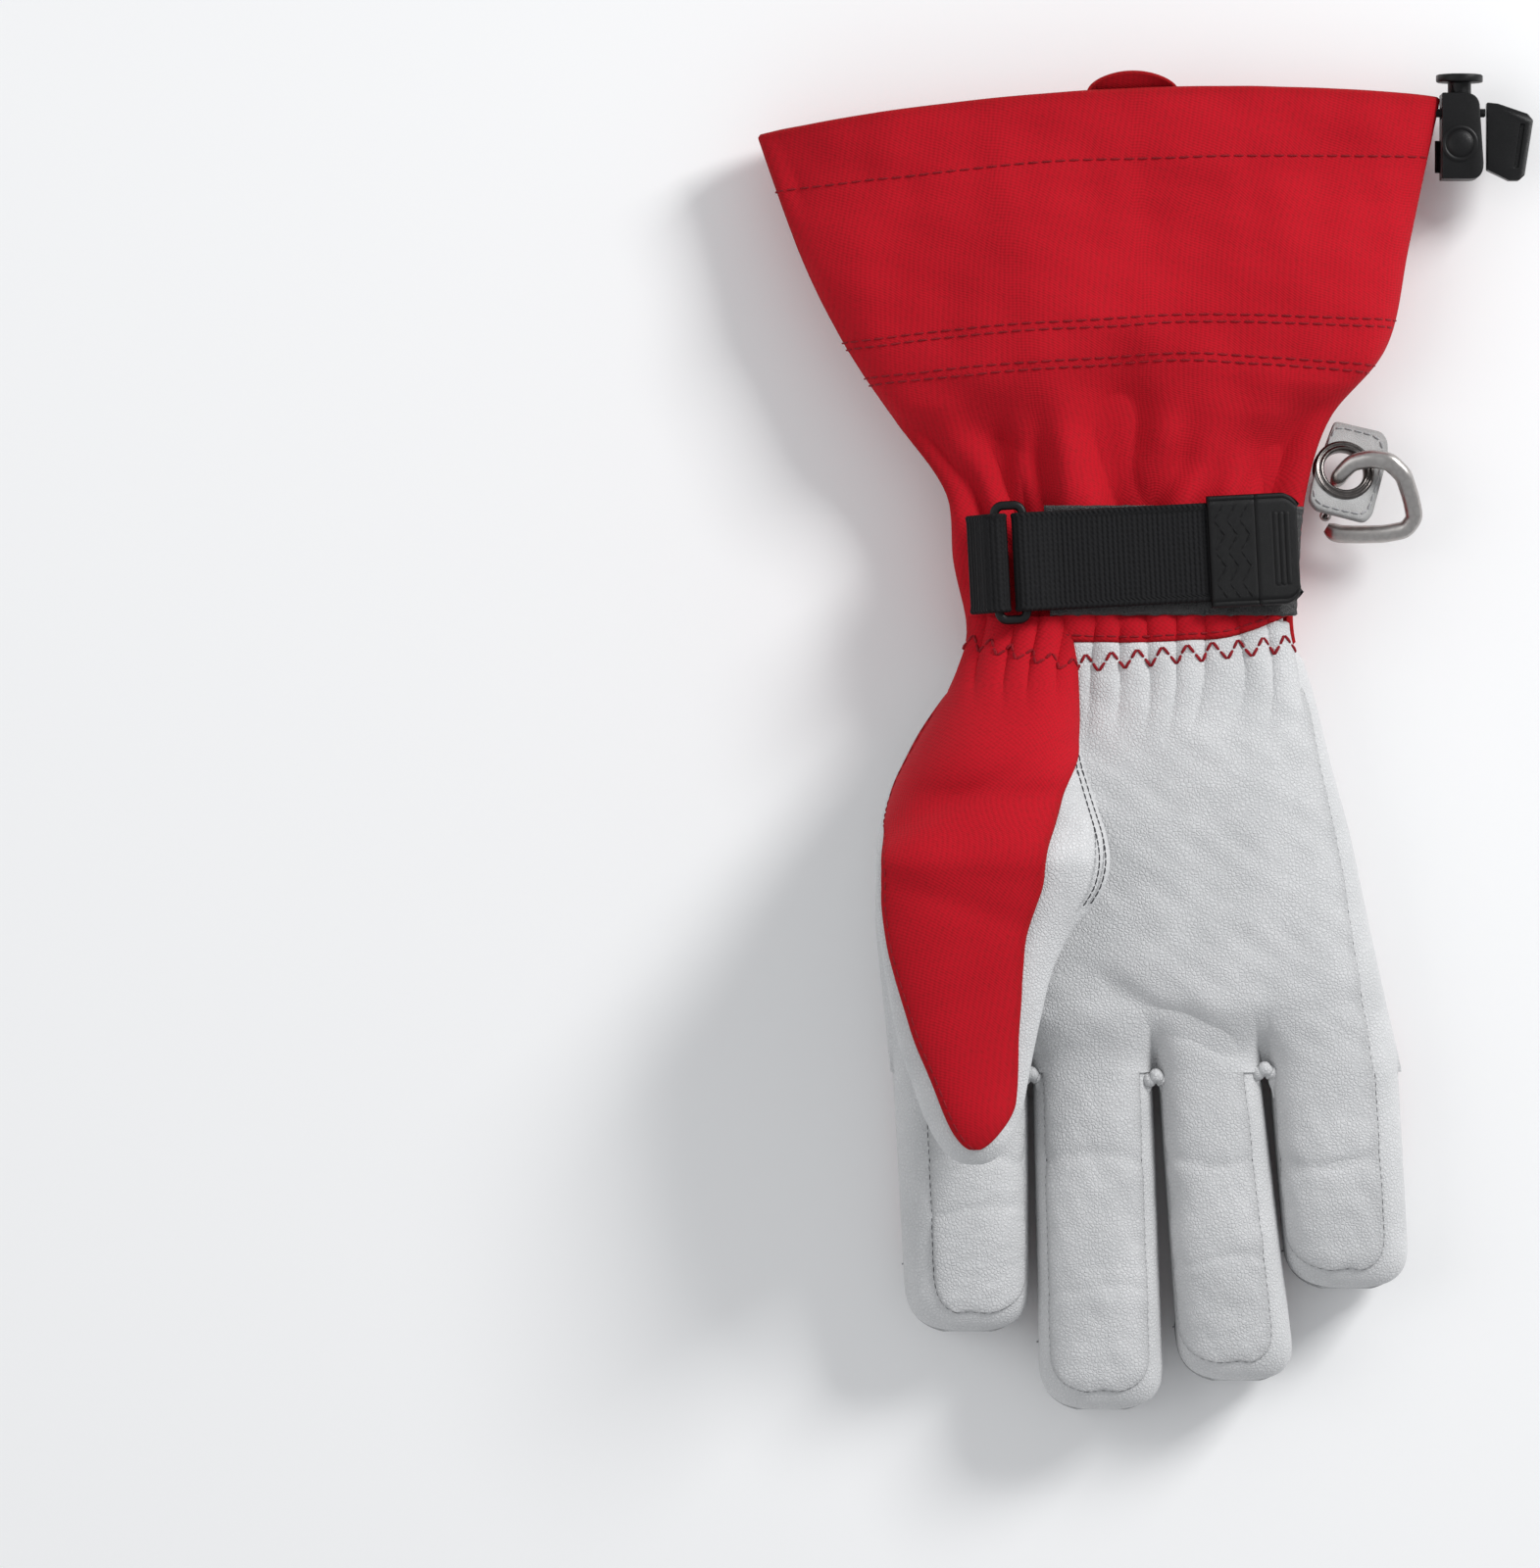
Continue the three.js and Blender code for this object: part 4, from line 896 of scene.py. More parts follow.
at_sides = ease(angle, 183, 202) * (1 - ease(angle, 336, 354))
cuff_back = raise_relief(cuff_back, (0, 0, -1), cuff_relief(cuff_back, 71) * at_sides)
cuff_back[..., 2] = np.maximum(cuff_back[..., 2], 1.7 + 0.25 * np.exp(-((cuff_back[..., 1] - 95) / 25) ** 2))
back_cuff = sewn_piece("cuff_back_canvas", cuff_back, red_canvas, (0, 0, -1), lift=0.5, thick=2.0,
                       sewn="lrbt")
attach(back_cuff, "hand")
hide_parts("wrist_back_panel", "gauntlet_back_panel", "wrist_elastic")
for panel, laid in ((palm_cuff, cuff_palm), (back_cuff, cuff_back)):
    flat, area = cut_size(laid)
    print(panel.name, "cut", np.round(np.array(flat) * 1000, 1), "mm,", round(area * 1e4, 1), "cm2")

# %% [markdown]
# ## Side seams, hem and lining
# Where the two cuff panels meet, the seam allowance makes a soft ridge inside the groove. The canvas
# turns in at the hem, and a fleece lining starts behind it and goes down into the hand.

# %% Seam ridge, hem facing and lining
def cuff_tube(name, low, high, depth, material, thick, columns=150, rows=60, sewn="b"):
    """A closed band round the inside of the cuff, depth mm under its surface."""
    angle = np.linspace(0, 360, columns, endpoint=False)[None, :]
    p = cuff_point(angle, np.linspace(low, high, rows)[:, None])
    middle = p.mean(1, keepdims=True)
    inward = p - middle
    flat = np.abs(inward) - depth
    shrunk = middle + np.sign(inward) * np.maximum(flat, 0)
    shrunk[..., 1] = p[..., 1]
    return sewn_piece(name, shrunk, material, thick=thick, sewn=sewn, wrap=True, roll=0.9)


facing_row = np.linspace(11.0, 11.97, 60)[:, None, None]
facing_depth = 1.3 + 4.2 * (1 - ease(facing_row, 11.3, 11.97))
facing_band = cuff_tube("hem_facing", 11.0, 11.97, facing_depth, red_canvas, 1.2, sewn="t")
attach(facing_band, "hand")
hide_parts("hem_binding")
cuff_lining = cuff_tube("fleece_lining", 5.2, 11.2, 9.0, fleece, 1.4, sewn="t")
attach(cuff_lining, "hand")
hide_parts("glove_lining")
for edge_name, edge_angle in (("thumb", 178.5), ("little_finger", 358.5)):
    line = cuff_point(edge_angle, np.linspace(6.25, 11.99, 160))
    turn = np.linspace(0, 2 * np.pi, 12, endpoint=False)
    ring = np.stack([np.cos(turn) * 1.15, 0 * turn, np.sin(turn) * 3.2], -1)
    inward = -2.1 if edge_name == "little_finger" else 1.9
    ridge = closed_tube("side_seam_" + edge_name, line[:, None] + ring[None] + [inward, 0, 0], red_canvas)
    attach(ridge, "hand")
print("hem facing, lining and side seams")

# %% [markdown]
# ## Wrist strap
# A webbing strap pulls the wrist in. It turns round one bar of a plastic ring, crosses the wrist and ends
# in a rubber pull tab; a short keeper holds the ring's other bar. The strap lies a little flatter than
# the wrist, so its height is a function of the distance from the ring, and everything is turned 3 degrees.

# %% Strap frame
STRAP_TURN = np.radians(3)
RING_X, RING_Y, RING_Z, RING_LONG, RING_WIDE, BAR = -35.0, 63.7, 31.6, 31.3, 9.3, 2.2
REACH = 12.5


def strap_place(p):
    """Turns points measured from the ring's middle into the glove's own place."""
    c, s = np.cos(STRAP_TURN), np.sin(STRAP_TURN)
    x, y, z = np.moveaxis(np.asarray(p, float), -1, 0)
    return np.stack([RING_X + x * c - y * s, RING_Y + x * s + y * c, z], -1)


def strap_level(x):
    """Height of the strap's underside: a flat superellipse over the wrist."""
    share = np.abs((x + RING_X + 5) / 60)
    return 15.9 + 15.4 * (1 - share**2.8) ** (1 / 2.8)


def strap_grid(low, high, half, columns, rows, lift):
    """A strip along the strap; half, its half width, may change along it."""
    x = np.linspace(low, high, columns)[None, :]
    y = np.linspace(-1, 1, rows)[:, None] * half(x)
    return np.stack(np.broadcast_arrays(x, y, strap_level(x) + lift), -1)


def belongs(piece, body, slot, *nodes):
    """The piece rides on a body, if one is named, and may stand for CAD nodes; slot is not used."""
    if body:
        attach(piece, body)
    if nodes:
        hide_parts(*nodes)
    return piece


# %% Webbing round the ring's bars
def webbing_piece(name, path, half, thick, lift):
    """Carries the strap's width along a path of (x, height)."""
    steps = np.concatenate([[0], np.cumsum(np.linalg.norm(np.diff(path, axis=0), axis=1))])
    even = np.linspace(0, steps[-1], max(int(steps[-1] / 0.45), 12))
    x, z = np.interp(even, steps, path[:, 0]), np.interp(even, steps, path[:, 1])
    y = np.linspace(-half, half, 64)[:, None]
    edge_bead = 0.28 * np.exp(-(((half - np.abs(y)) / 1.1) ** 2))
    rib = 0.10 * np.cos(2 * np.pi * even / 1.15)[None, :] * ease(half - np.abs(y), 0.6, 2.0)
    grid = np.stack(np.broadcast_arrays(x[None, :], y, z[None, :]), -1)
    normal = grid_normals(grid, (0, 0, 1))
    return sewn_piece(name, strap_place(grid + normal * (rib + edge_bead)[..., None]), strap_webbing,
                      (0, 0, 1),
                      lift=lift, thick=thick, sewn="bt", roll=0.5)


bar_x = RING_WIDE / 2 - BAR / 2
along = np.linspace(bar_x + 2.9, 51.5, 90)
top_level = strap_level(along) + 1.0 + 1.6 * (1 - ease(along, 5, 13))
turn = np.radians(np.linspace(270, 90, 24))
eye_x, eye_z = bar_x + 2.5 * np.cos(turn), RING_Z + 2.5 * np.sin(turn)
path = np.concatenate([np.stack([eye_x, eye_z], -1), np.stack([along, top_level], -1)])
belongs(webbing_piece("strap_webbing_flap", path, REACH, 1.4, 0.35), "strap_flap", "black_webbing",
        "strap_webbing")
keeper_x = np.linspace(-bar_x - 2.4, -10.4, 16)
keeper_z = np.interp(keeper_x, [-10.4, -8.4, -bar_x - 2.4], [25.4, 28.6, RING_Z + 1.6])
turn = np.radians(np.linspace(-90, 90, 24))
path = np.concatenate([np.stack([-bar_x + 2.7 * np.cos(turn), RING_Z + 2.7 * np.sin(turn)], -1),
                       np.stack([keeper_x, keeper_z], -1)])
belongs(webbing_piece("strap_webbing_keeper", path, REACH, 1.4, 0.3), "hand", "black_webbing", "strap_keeper")
print("strap webbing laid")

# %% Ring
def round_box(half_x, half_y, corner, count=16):
    """A closed plan outline with round corners, run anticlockwise."""
    turn = np.linspace(0, 2 * np.pi, 4 * count, endpoint=False) + np.pi / (4 * count)
    x = np.sign(np.cos(turn)) * (half_x - corner) + corner * np.cos(turn)
    y = np.sign(np.sin(turn)) * (half_y - corner) + corner * np.sin(turn)
    return np.stack([x, y], -1)


def swept_loop(name, outline, section, material, place, height):
    """A bar whose section (out, up) is carried round a closed plan outline, out being outwards."""
    ahead = np.roll(outline, -1, 0) - np.roll(outline, 1, 0)
    out = np.stack([ahead[:, 1], -ahead[:, 0]], -1)
    out /= np.linalg.norm(out, axis=1, keepdims=True)
    flat = outline[:, None] + out[:, None] * section[None, :, :1]
    rings = np.concatenate([flat, np.broadcast_to(height + section[None, :, 1:], (*flat.shape[:2], 1))], -1)
    return closed_tube(name, place(rings), material, loop=True)


def oval_section(wide, high, power=2.6, count=16):
    """A rounded bar section, its half width and half height given."""
    turn = np.linspace(0, 2 * np.pi, count, endpoint=False)
    c, s = np.cos(turn), np.sin(turn)
    return np.stack([wide * np.sign(c) * np.abs(c) ** (2 / power),
                     high * np.sign(s) * np.abs(s) ** (2 / power)], -1)


ring_line = round_box(RING_WIDE / 2 - BAR / 2, RING_LONG / 2 - BAR / 2, 2.2)
ring = swept_loop("ring_moulding", ring_line, oval_section(1.15, 1.1), satin_plastic, strap_place, RING_Z)
belongs(ring, "ring", "black_plastic", "strap_ring")

# %% Rubber pull tab
TAB_LOW, TAB_HIGH, TAB_HALF, TAB_CORNER, TAB_LINE = 50.4, 73.2, 14.2, 4.0, 62.6


def tab_half(x):
    """Half width of the tab: straight, with its two far corners rounded."""
    into = np.clip((x - (TAB_HIGH - TAB_CORNER)) / TAB_CORNER, 0, 1)
    return TAB_HALF - 0.7 * TAB_CORNER * into**2


tab = strap_grid(TAB_LOW, TAB_HIGH, tab_half, 130, 110, 2.2)
tx = np.linspace(TAB_LOW, TAB_HIGH, 130)[None, :]
ty = np.linspace(-1, 1, 110)[:, None] * tab_half(tx)
step = 0.35 * ease(tx, TAB_LINE - 0.2, TAB_LINE + 0.2) - 0.5 * np.exp(-(((tx - TAB_LINE) / 0.35) ** 2))
rim = 0.35 * np.exp(-(((tab_half(tx) - np.abs(ty) - 1.4) / 0.5) ** 2))
grip = (0.22 * np.cos(2 * np.pi * tx / 1.5) * ease(tx, 66.0, 66.6) * (1 - ease(tx, 70.6, 71.2))
        * (np.abs(ty) < 9))
tab = tab + grid_normals(tab, (0, 0, 1)) * (step - rim + grip)[..., None]
pull_tab = sewn_piece("rubber_pull_tab", strap_place(tab), moulded_rubber, (0, 0, 1), lift=0.6, thick=2.8,
                      roll=0.9)
belongs(pull_tab, "strap_flap", "black_rubber", "strap_pull_tab")
hooks = strap_grid(52, 72, lambda x: 11.8 + 0 * x, 40, 40, -0.9)
belongs(sewn_piece("hook_patch", strap_place(hooks), hook_and_loop, (0, 0, 1), lift=0.3, thick=0.6,
                   roll=0.25), "strap_flap", "black_webbing", "strap_hook_patch")
pad_angle = np.linspace(112, 12, 120)[None, :]
pad_row = np.linspace(6.25, 7.8, 90)[:, None]
pad = cuff_point(pad_angle, pad_row)
pad = raise_relief(pad, (0, 0, 1), 0.12 * ripples(pad[..., 0], pad[..., 1], 2.2, 90))
belongs(sewn_piece("loop_pad", pad, hook_and_loop, (0, 0, 1), lift=1.7, thick=1.5, roll=0.7), "hand",
        "black_webbing", "strap_loop_pad")
print("ring, pull tab, hook and loop")

# %% [markdown]
# ## Eyelet tab and carabiner
# A suede tab with a nickel eyelet is sewn under the cuff's edge, and a small carabiner hooks through it.
# The tab and the carabiner lean opposite ways about one line through the eyelet, so that the rod passes
# from under the tab to over it. A point of the plan is lifted by its distance along that line.

# %% Leaning frames
RISE = np.arctan2(0.866, 0.5)
EYELET_X, EYELET_Y, EYELET_Z, HOLE, RIM = 50.4, 87.4, 15.0, 5.3, 7.9
TAB_LEAN, HOOK_LEAN = np.radians(-21), np.radians(24)
PASS = (49.9, 86.9)


def lean(plan, height, centre, angle):
    """Stands plan points on a plane that rises by an angle along RISE, then lifts them off it by height."""
    plan = np.asarray(plan, float)
    far = (plan[..., 0] - centre[0]) * np.cos(RISE) + (plan[..., 1] - centre[1]) * np.sin(RISE)
    base = np.stack([plan[..., 0], plan[..., 1], EYELET_Z + far * np.tan(angle)], -1)
    up = np.array([-np.sin(angle) * np.cos(RISE), -np.sin(angle) * np.sin(RISE), np.cos(angle)])
    return base + np.asarray(height)[..., None] * up


# %% Suede tab
TAB_PLAN = np.array([[48.3, 100.4], [60.6, 97.6], [62, 95.4], [62, 91.5], [57.6, 76], [55.6, 74.2],
                     [43, 77.4],
                     [41.3, 79.8], [42.3, 85]])


def soft_outline(corners, count, passes=3):
    """A closed outline through corners, resampled evenly and rounded by a few running means."""
    ring = np.vstack([corners, corners[:1]])
    steps = np.concatenate([[0], np.cumsum(np.linalg.norm(np.diff(ring, axis=0), axis=1))])
    at = np.linspace(0, steps[-1], count, endpoint=False)
    line = np.stack([np.interp(at, steps, ring[:, k]) for k in (0, 1)], -1)
    for _ in range(passes):
        line = (np.roll(line, 1, 0) + 2 * line + np.roll(line, -1, 0)) / 4
    return line


tab_edge = soft_outline(TAB_PLAN, 120)
hole_turn = np.arctan2(tab_edge[:, 1] - EYELET_Y, tab_edge[:, 0] - EYELET_X)
order = np.argsort(hole_turn)
tab_edge, hole_turn = tab_edge[order], hole_turn[order]
hole_edge = np.stack([EYELET_X + 5.95 * np.cos(hole_turn), EYELET_Y + 5.95 * np.sin(hole_turn)], -1)
share = np.linspace(0, 1, 22)[:, None, None]
tab_plan = hole_edge + (tab_edge - hole_edge) * share
tab_grid = lean(tab_plan, 0 * tab_plan[..., 0], (EYELET_X, EYELET_Y), TAB_LEAN)
suede = sewn_piece("eyelet_suede_tab", tab_grid, tab_suede, (0, 0, 1), lift=0.75, thick=1.5, sewn="t",
                   wrap=True, roll=0.6)
belongs(suede, "hand", "leather", "eyelet_tab")

# %% Nickel eyelet
def turned_ring(name, profile, material, columns=72):
    """A ring turned from a closed profile of (radius, height), standing in the tab's leaning plane."""
    turn = np.linspace(0, 2 * np.pi, columns, endpoint=False)
    radius, height = np.asarray(profile, float).T
    squeeze = np.cos(TAB_LEAN)
    u, v = radius[None] * np.cos(turn)[:, None] * squeeze, radius[None] * np.sin(turn)[:, None]
    plan = np.stack([EYELET_X + u * np.cos(RISE) - v * np.sin(RISE),
                     EYELET_Y + u * np.sin(RISE) + v * np.cos(RISE)], -1)
    rings = lean(plan, np.broadcast_to(height, plan.shape[:2]), (EYELET_X, EYELET_Y), TAB_LEAN)
    return closed_tube(name, rings, material, loop=True)


flange = [(HOLE, 0.3), (HOLE + 0.1, 1.2), (HOLE + 0.5, 1.55), (HOLE + 0.9, 1.5), (HOLE + 1.15, 1.22),
          (HOLE + 1.5, 1.2), (HOLE + 1.8, 1.45), (HOLE + 2.2, 1.4), (RIM, 1.0), (RIM - 0.1, 0.8),
          (HOLE + 0.55, 0.8)]
profile = flange + [(r, -h) for r, h in flange[::-1]]
belongs(turned_ring("nickel_eyelet", profile, dark_nickel), "hand", "nickel", "eyelet")

# %% Carabiner
HOOK = np.array([[48.1, 83.9], [49.9, 86.9], [52.6, 89.6], [57, 90.6], [62, 89.8], [65.6, 86.3], [67.6, 80.5],
                 [68.7, 75.6], [66.5, 72.5], [61, 71.5], [54, 71.4], [49, 71.6], [46.4, 73.2]])


def smooth_path(points, count, passes=6):
    """An open path through points, evenly spaced, its corners rounded by running means with fixed ends."""
    steps = np.concatenate([[0], np.cumsum(np.linalg.norm(np.diff(points, axis=0), axis=1))])
    at = np.linspace(0, steps[-1], count)
    line = np.stack([np.interp(at, steps, points[:, k]) for k in range(points.shape[1])], -1)
    for _ in range(passes):
        line[1:-1] = (line[:-2] + 2 * line[1:-1] + line[2:]) / 4
    return line


hook_line = smooth_path(HOOK, 110)
ahead = np.gradient(hook_line, axis=0)
side = np.stack([-ahead[:, 1], ahead[:, 0]], -1) / np.linalg.norm(ahead, axis=1, keepdims=True)
section = oval_section(2.15, 1.85, 2.3, 20)
taper = np.minimum(ease(np.arange(110), -6, 5), ease(109 - np.arange(110), -6, 5))[:, None]
plan = hook_line[:, None] + side[:, None] * (section[None, :, :1] * taper[..., None])
rod = closed_tube("carabiner_rod", lean(plan, section[None, :, 1] * taper, PASS, HOOK_LEAN), satin_aluminium)
belongs(rod, "carabiner", "aluminium", "carabiner_body")


def refined(node, name, material, bevel, body, slot):
    """A copy of a moulded CAD part with its doubles merged and its edges rounded, standing for it."""
    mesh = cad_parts[node].data.copy()
    made = bpy.data.objects.new(name, mesh)
    scene.collection.objects.link(made)
    work = bmesh.new()
    work.from_mesh(mesh)
    bmesh.ops.remove_doubles(work, verts=work.verts, dist=1e-5)
    bmesh.ops.dissolve_limit(work, angle_limit=0.02, verts=work.verts, edges=work.edges)
    work.to_mesh(mesh)
    work.free()
    mesh.materials.clear()
    mesh.materials.append(material)
    for polygon in mesh.polygons:
        polygon.material_index = 0
    round_off = made.modifiers.new("rounded edges", "BEVEL")
    round_off.width, round_off.segments = bevel * MM, 3
    round_off.limit_method, round_off.angle_limit = "ANGLE", 0.5
    round_off.harden_normals = True
    mesh.polygons.foreach_set("use_smooth", np.ones(len(mesh.polygons), bool))
    return belongs(made, body, slot, node)


refined("carabiner_gate", "gate_rod", satin_aluminium, 0.15, "gate", "aluminium")
refined("carabiner_gate_pin", "gate_pin", dark_nickel, 0.1, "carabiner", "nickel")
print("tab, eyelet and carabiner")

# %% [markdown]
# ## Cord lock, end clip and drawcord
# A drawcord runs in the hem and comes out at the little finger's side through a spring lock, and ends in
# a flat clip. The lock and the clip are moulded parts, so their CAD shapes are kept and their edges
# rounded, and a round cap stands on the lock. The cord is one tube: it leaves the clip, goes in through
# the lock, turns back in a half circle inside the hem and comes out to the clip again.

# %% Lock, clip and plunger
refined("lock_body", "cord_lock", satin_plastic, 0.55, "hand", "black_plastic")
LOCK_X, LOCK_Y = 80, 171
lock_top = np.array(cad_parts["lock_body"].bound_box)[:, 2].max() / MM
turn = np.linspace(0, 2 * np.pi, 40, endpoint=False)
radius = np.array([4.6, 4.6, 4.3, 3.9, 3.6, 3.5, 3.2, 2.5, 1.4, 0.1])[:, None]
rise = np.array([-0.3, 0.4, 0.6, 0.6, 0.2, 0.2, 0.6, 0.9, 1.1, 1.15])[:, None]
cap = np.stack([LOCK_X + radius * np.cos(turn), LOCK_Y + radius * np.sin(turn), lock_top + rise + 0 * turn],
               -1)
belongs(closed_tube("lock_window_cap", cap, satin_plastic), "hand", "black_plastic")
refined("lock_plunger", "cord_lock_plunger", satin_plastic, 0.4, "plunger", "black_plastic")
refined("cord_end_clip", "cord_clip", satin_plastic, 0.6, "cord_and_clip", "black_plastic")
spring = refined("lock_spring", "cord_lock_spring", satin_aluminium, 0.05, None, "aluminium")
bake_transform(spring)
print("lock, its cap, plunger and spring, end clip")

# %% Anchor webbing and drawcord
low, high = (np.array(c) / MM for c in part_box("lock_anchor_webbing"))
x = np.linspace(low[0], high[0], 40)[None, :]
y = np.linspace(low[1], high[1], 24)[:, None]
anchor = np.stack(np.broadcast_arrays(x, y, high[2] + 0.12 * np.cos(2 * np.pi * x / 1.2)), -1)
belongs(sewn_piece("anchor_webbing", anchor, strap_webbing, (0, 0, 1), thick=1.3, roll=0.4), "hand",
        "black_webbing", "lock_anchor_webbing")
low, high = (np.array(c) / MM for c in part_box("drawcord"))
CORD_RADIUS = 1.0
cord_y = (low[1] + high[1]) / 2
upper, lower = high[2] - CORD_RADIUS, low[2] + CORD_RADIUS
bend = np.radians(np.linspace(90, 270, 14))
bend_radius = (upper - lower) / 2
start_x = low[0] + CORD_RADIUS + bend_radius
path_x = np.concatenate([np.linspace(high[0], start_x, 14), start_x + bend_radius * np.cos(bend)[1:-1],
                         np.linspace(start_x, high[0], 14)])
path_z = np.concatenate([np.full(14, upper), (upper + lower) / 2 + bend_radius * np.sin(bend)[1:-1],
                         np.full(14, lower)])
cord_path = np.stack([path_x, 0 * path_x + cord_y, path_z], -1)
ahead = np.gradient(cord_path, axis=0)
ahead /= np.linalg.norm(ahead, axis=1, keepdims=True)
across = np.array([0.0, 1.0, 0.0])
up = np.cross(ahead, across)
turn = np.linspace(0, 2 * np.pi, 14, endpoint=False)
rings = cord_path[:, None] + CORD_RADIUS * (
    across * np.cos(turn)[None, :, None] + up[:, None] * np.sin(turn)[None, :, None]
)
drawcord = belongs(closed_tube("elastic_drawcord", rings, black_thread), "cord_and_clip", "cord", "drawcord")

# %% [markdown]
# ## Hanging loop and patch
# A ribbon loop sticks out of the hem, and a five-sided leather patch with a woven field is sewn to the
# back of the wrist. The patch follows the cuff, so its outline is filled with a grid that runs from the
# middle to the edge. Three plain chevrons are stitched on the field.

# %% Ribbon loop
t = np.linspace(0, 1, 70)[None, :]
width = np.linspace(-1, 1, 16)[:, None]
ribbon_x = -15 + 22.5 * t
arch = np.sin(np.pi * t) ** 0.45
ribbon_y = 182.6 + arch * (3.9 + 2.1 * width)
ribbon = np.stack(np.broadcast_arrays(ribbon_x, ribbon_y, 24.8 + 1.6 * width + 1.2 * arch), -1)
belongs(sewn_piece("hanging_ribbon", ribbon, red_canvas, (0, 0, 1), thick=0.7, roll=0.3), "hand",
        "shell_fabric", "hanging_loop")

# %% Patch on the back of the wrist
PATCH = np.array([[-2, 68], [13.3, 83.8], [12.8, 109.8], [-22.3, 108], [-20, 83]])
PATCH_MIDDLE = np.array([-3.5, 94.0])


def patch_piece(name, scale, low, material, lift, thick, slot, node):
    """A flat patch under the cuff: its outline shrunk towards its middle in even steps."""
    line = soft_outline(PATCH_MIDDLE + (PATCH - PATCH_MIDDLE) * scale, 110, 4)
    share = (np.linspace(0.0002, 1, 24) ** 0.8)[:, None, None]
    plan = PATCH_MIDDLE + (line - PATCH_MIDDLE) * share
    puff = 0.25 * (1 - share[..., 0] ** 4) * np.ones(plan.shape[:2])
    grid = np.concatenate([plan, (low - puff)[..., None]], -1)
    made = sewn_piece(name, grid, material, (0, 0, -1), lift=lift, thick=thick, sewn="t", wrap=True, roll=0.5)
    return belongs(made, "hand", slot, node)


patch_piece("patch_leather_face", 1.0, 1.15, white_leather, 0.2, 0.9, "leather", "patch_leather")
patch_piece("patch_woven_face", 0.72, 0.75, woven_patch, 0.3, 0.8, "black_webbing", "patch_woven_field")
print("ribbon and patch")

# %% [markdown]
# ## Stitches
# A row of stitches is many short threads. Each stitch is a small spindle with few faces, laid from a
# start to an end point and half sunk in the cloth. A row follows a line on a piece's own grid, found
# where a value changes sign, such as the distance from an edge less two millimetres.

# %% Lines on a grid and stitches along them
def line_where(grid, value, axis, facing, lift=0.7):
    """Points and normals where value passes zero along an axis of a grid, one for each line that crosses."""
    grid, value = (np.moveaxis(v, axis, 0) for v in (grid, value))
    normal = grid_normals(np.moveaxis(grid, 0, axis), facing)
    normal = np.moveaxis(normal, axis, 0)
    below = value[:-1] * value[1:] <= 0
    found = below.any(0)
    first = below.argmax(0)[found]
    line = np.flatnonzero(found)
    v0, v1 = value[first, line], value[first + 1, line]
    share = (v0 / np.where(v0 == v1, 1, v0 - v1))[:, None]
    points = grid[first, line] * (1 - share) + grid[first + 1, line] * share
    return points + normal[first, line] * lift, normal[first, line]


def at_lengths(points, wanted):
    """Rows of an array read at distances along the path of its first three columns."""
    steps = np.concatenate([[0], np.cumsum(np.linalg.norm(np.diff(points[:, :3], axis=0), axis=1))])
    return np.stack([np.interp(wanted, steps, points[:, k]) for k in range(points.shape[1])], -1)


def run_of(line, length=2.3, gap=0.8):
    """Starts, ends and normals of a plain row of stitches."""
    both = np.concatenate(line, 1)
    total = np.linalg.norm(np.diff(both[:, :3], axis=0), axis=1).sum()
    start = np.arange(0, total - length, length + gap)
    a, b = at_lengths(both, start), at_lengths(both, start + length)
    return a[:, :3], b[:, :3], a[:, 3:]


def zigzag_of(line, reach, pitch):
    """Starts, ends and normals of a zigzag: two stitches on each leg."""
    both = np.concatenate(line, 1)
    total = np.linalg.norm(np.diff(both[:, :3], axis=0), axis=1).sum()
    at = np.arange(0, total, pitch / 4)
    key = at_lengths(both, at)
    normal = key[:, 3:]
    side = np.cross(normal, np.gradient(key[:, :3], axis=0))
    side /= np.linalg.norm(side, axis=1, keepdims=True)
    swing = 1 - np.abs((np.arange(len(at)) % 4) - 2)
    points = key[:, :3] + side * (swing * reach)[:, None]
    return points[:-1] * 0.93 + points[1:] * 0.07, points[:-1] * 0.07 + points[1:] * 0.93, normal[:-1]


def stitches(name, rows, thread, radius=0.24):
    """One mesh of spindles: six sides and five rings each, thickest in the middle."""
    start, end, normal = (np.concatenate(part) for part in zip(*rows))
    ahead = end - start
    length = np.linalg.norm(ahead, axis=1, keepdims=True)
    ahead = ahead / np.maximum(length, 1e-6)
    side = np.cross(normal, ahead)
    side /= np.maximum(np.linalg.norm(side, axis=1, keepdims=True), 1e-6)
    t = np.array([0, 0.12, 0.5, 0.88, 1.0])
    size = radius * np.array([0.4, 0.9, 1.0, 0.9, 0.4])
    turn = np.linspace(0, 2 * np.pi, 6, endpoint=False)
    centre = start[:, None] + (end - start)[:, None] * t[None, :, None]
    centre = centre + normal[:, None] * (0.5 * radius * np.sin(np.pi * t))[None, :, None]
    round_ = side[:, None] * np.cos(turn)[None, :, None] + normal[:, None] * np.sin(turn)[None, :, None]
    points = centre[:, :, None] + round_[:, None] * size[None, :, None, None]
    points[..., 2] = np.maximum(points[..., 2], 0.02)
    one = grid_quads(5, 6, 0, True)
    faces = (one[None] + 30 * np.arange(len(start))[:, None, None]).reshape(-1, 4)
    first = points[0].reshape(-1, 3) - points[0].mean((0, 1))
    a, b, c = (first[one[:, k]] for k in range(3))
    flip = (a * np.cross(b, c)).sum() < 0
    caps = np.concatenate([30 * np.arange(len(start))[:, None] + np.arange(6)[::-1],
                           30 * np.arange(len(start))[:, None] + np.arange(24, 30)])
    if flip:
        faces, caps = faces[:, ::-1], caps[:, ::-1]
    return new_piece(name, points.reshape(-1, 3), faces, thread, caps=caps.tolist())


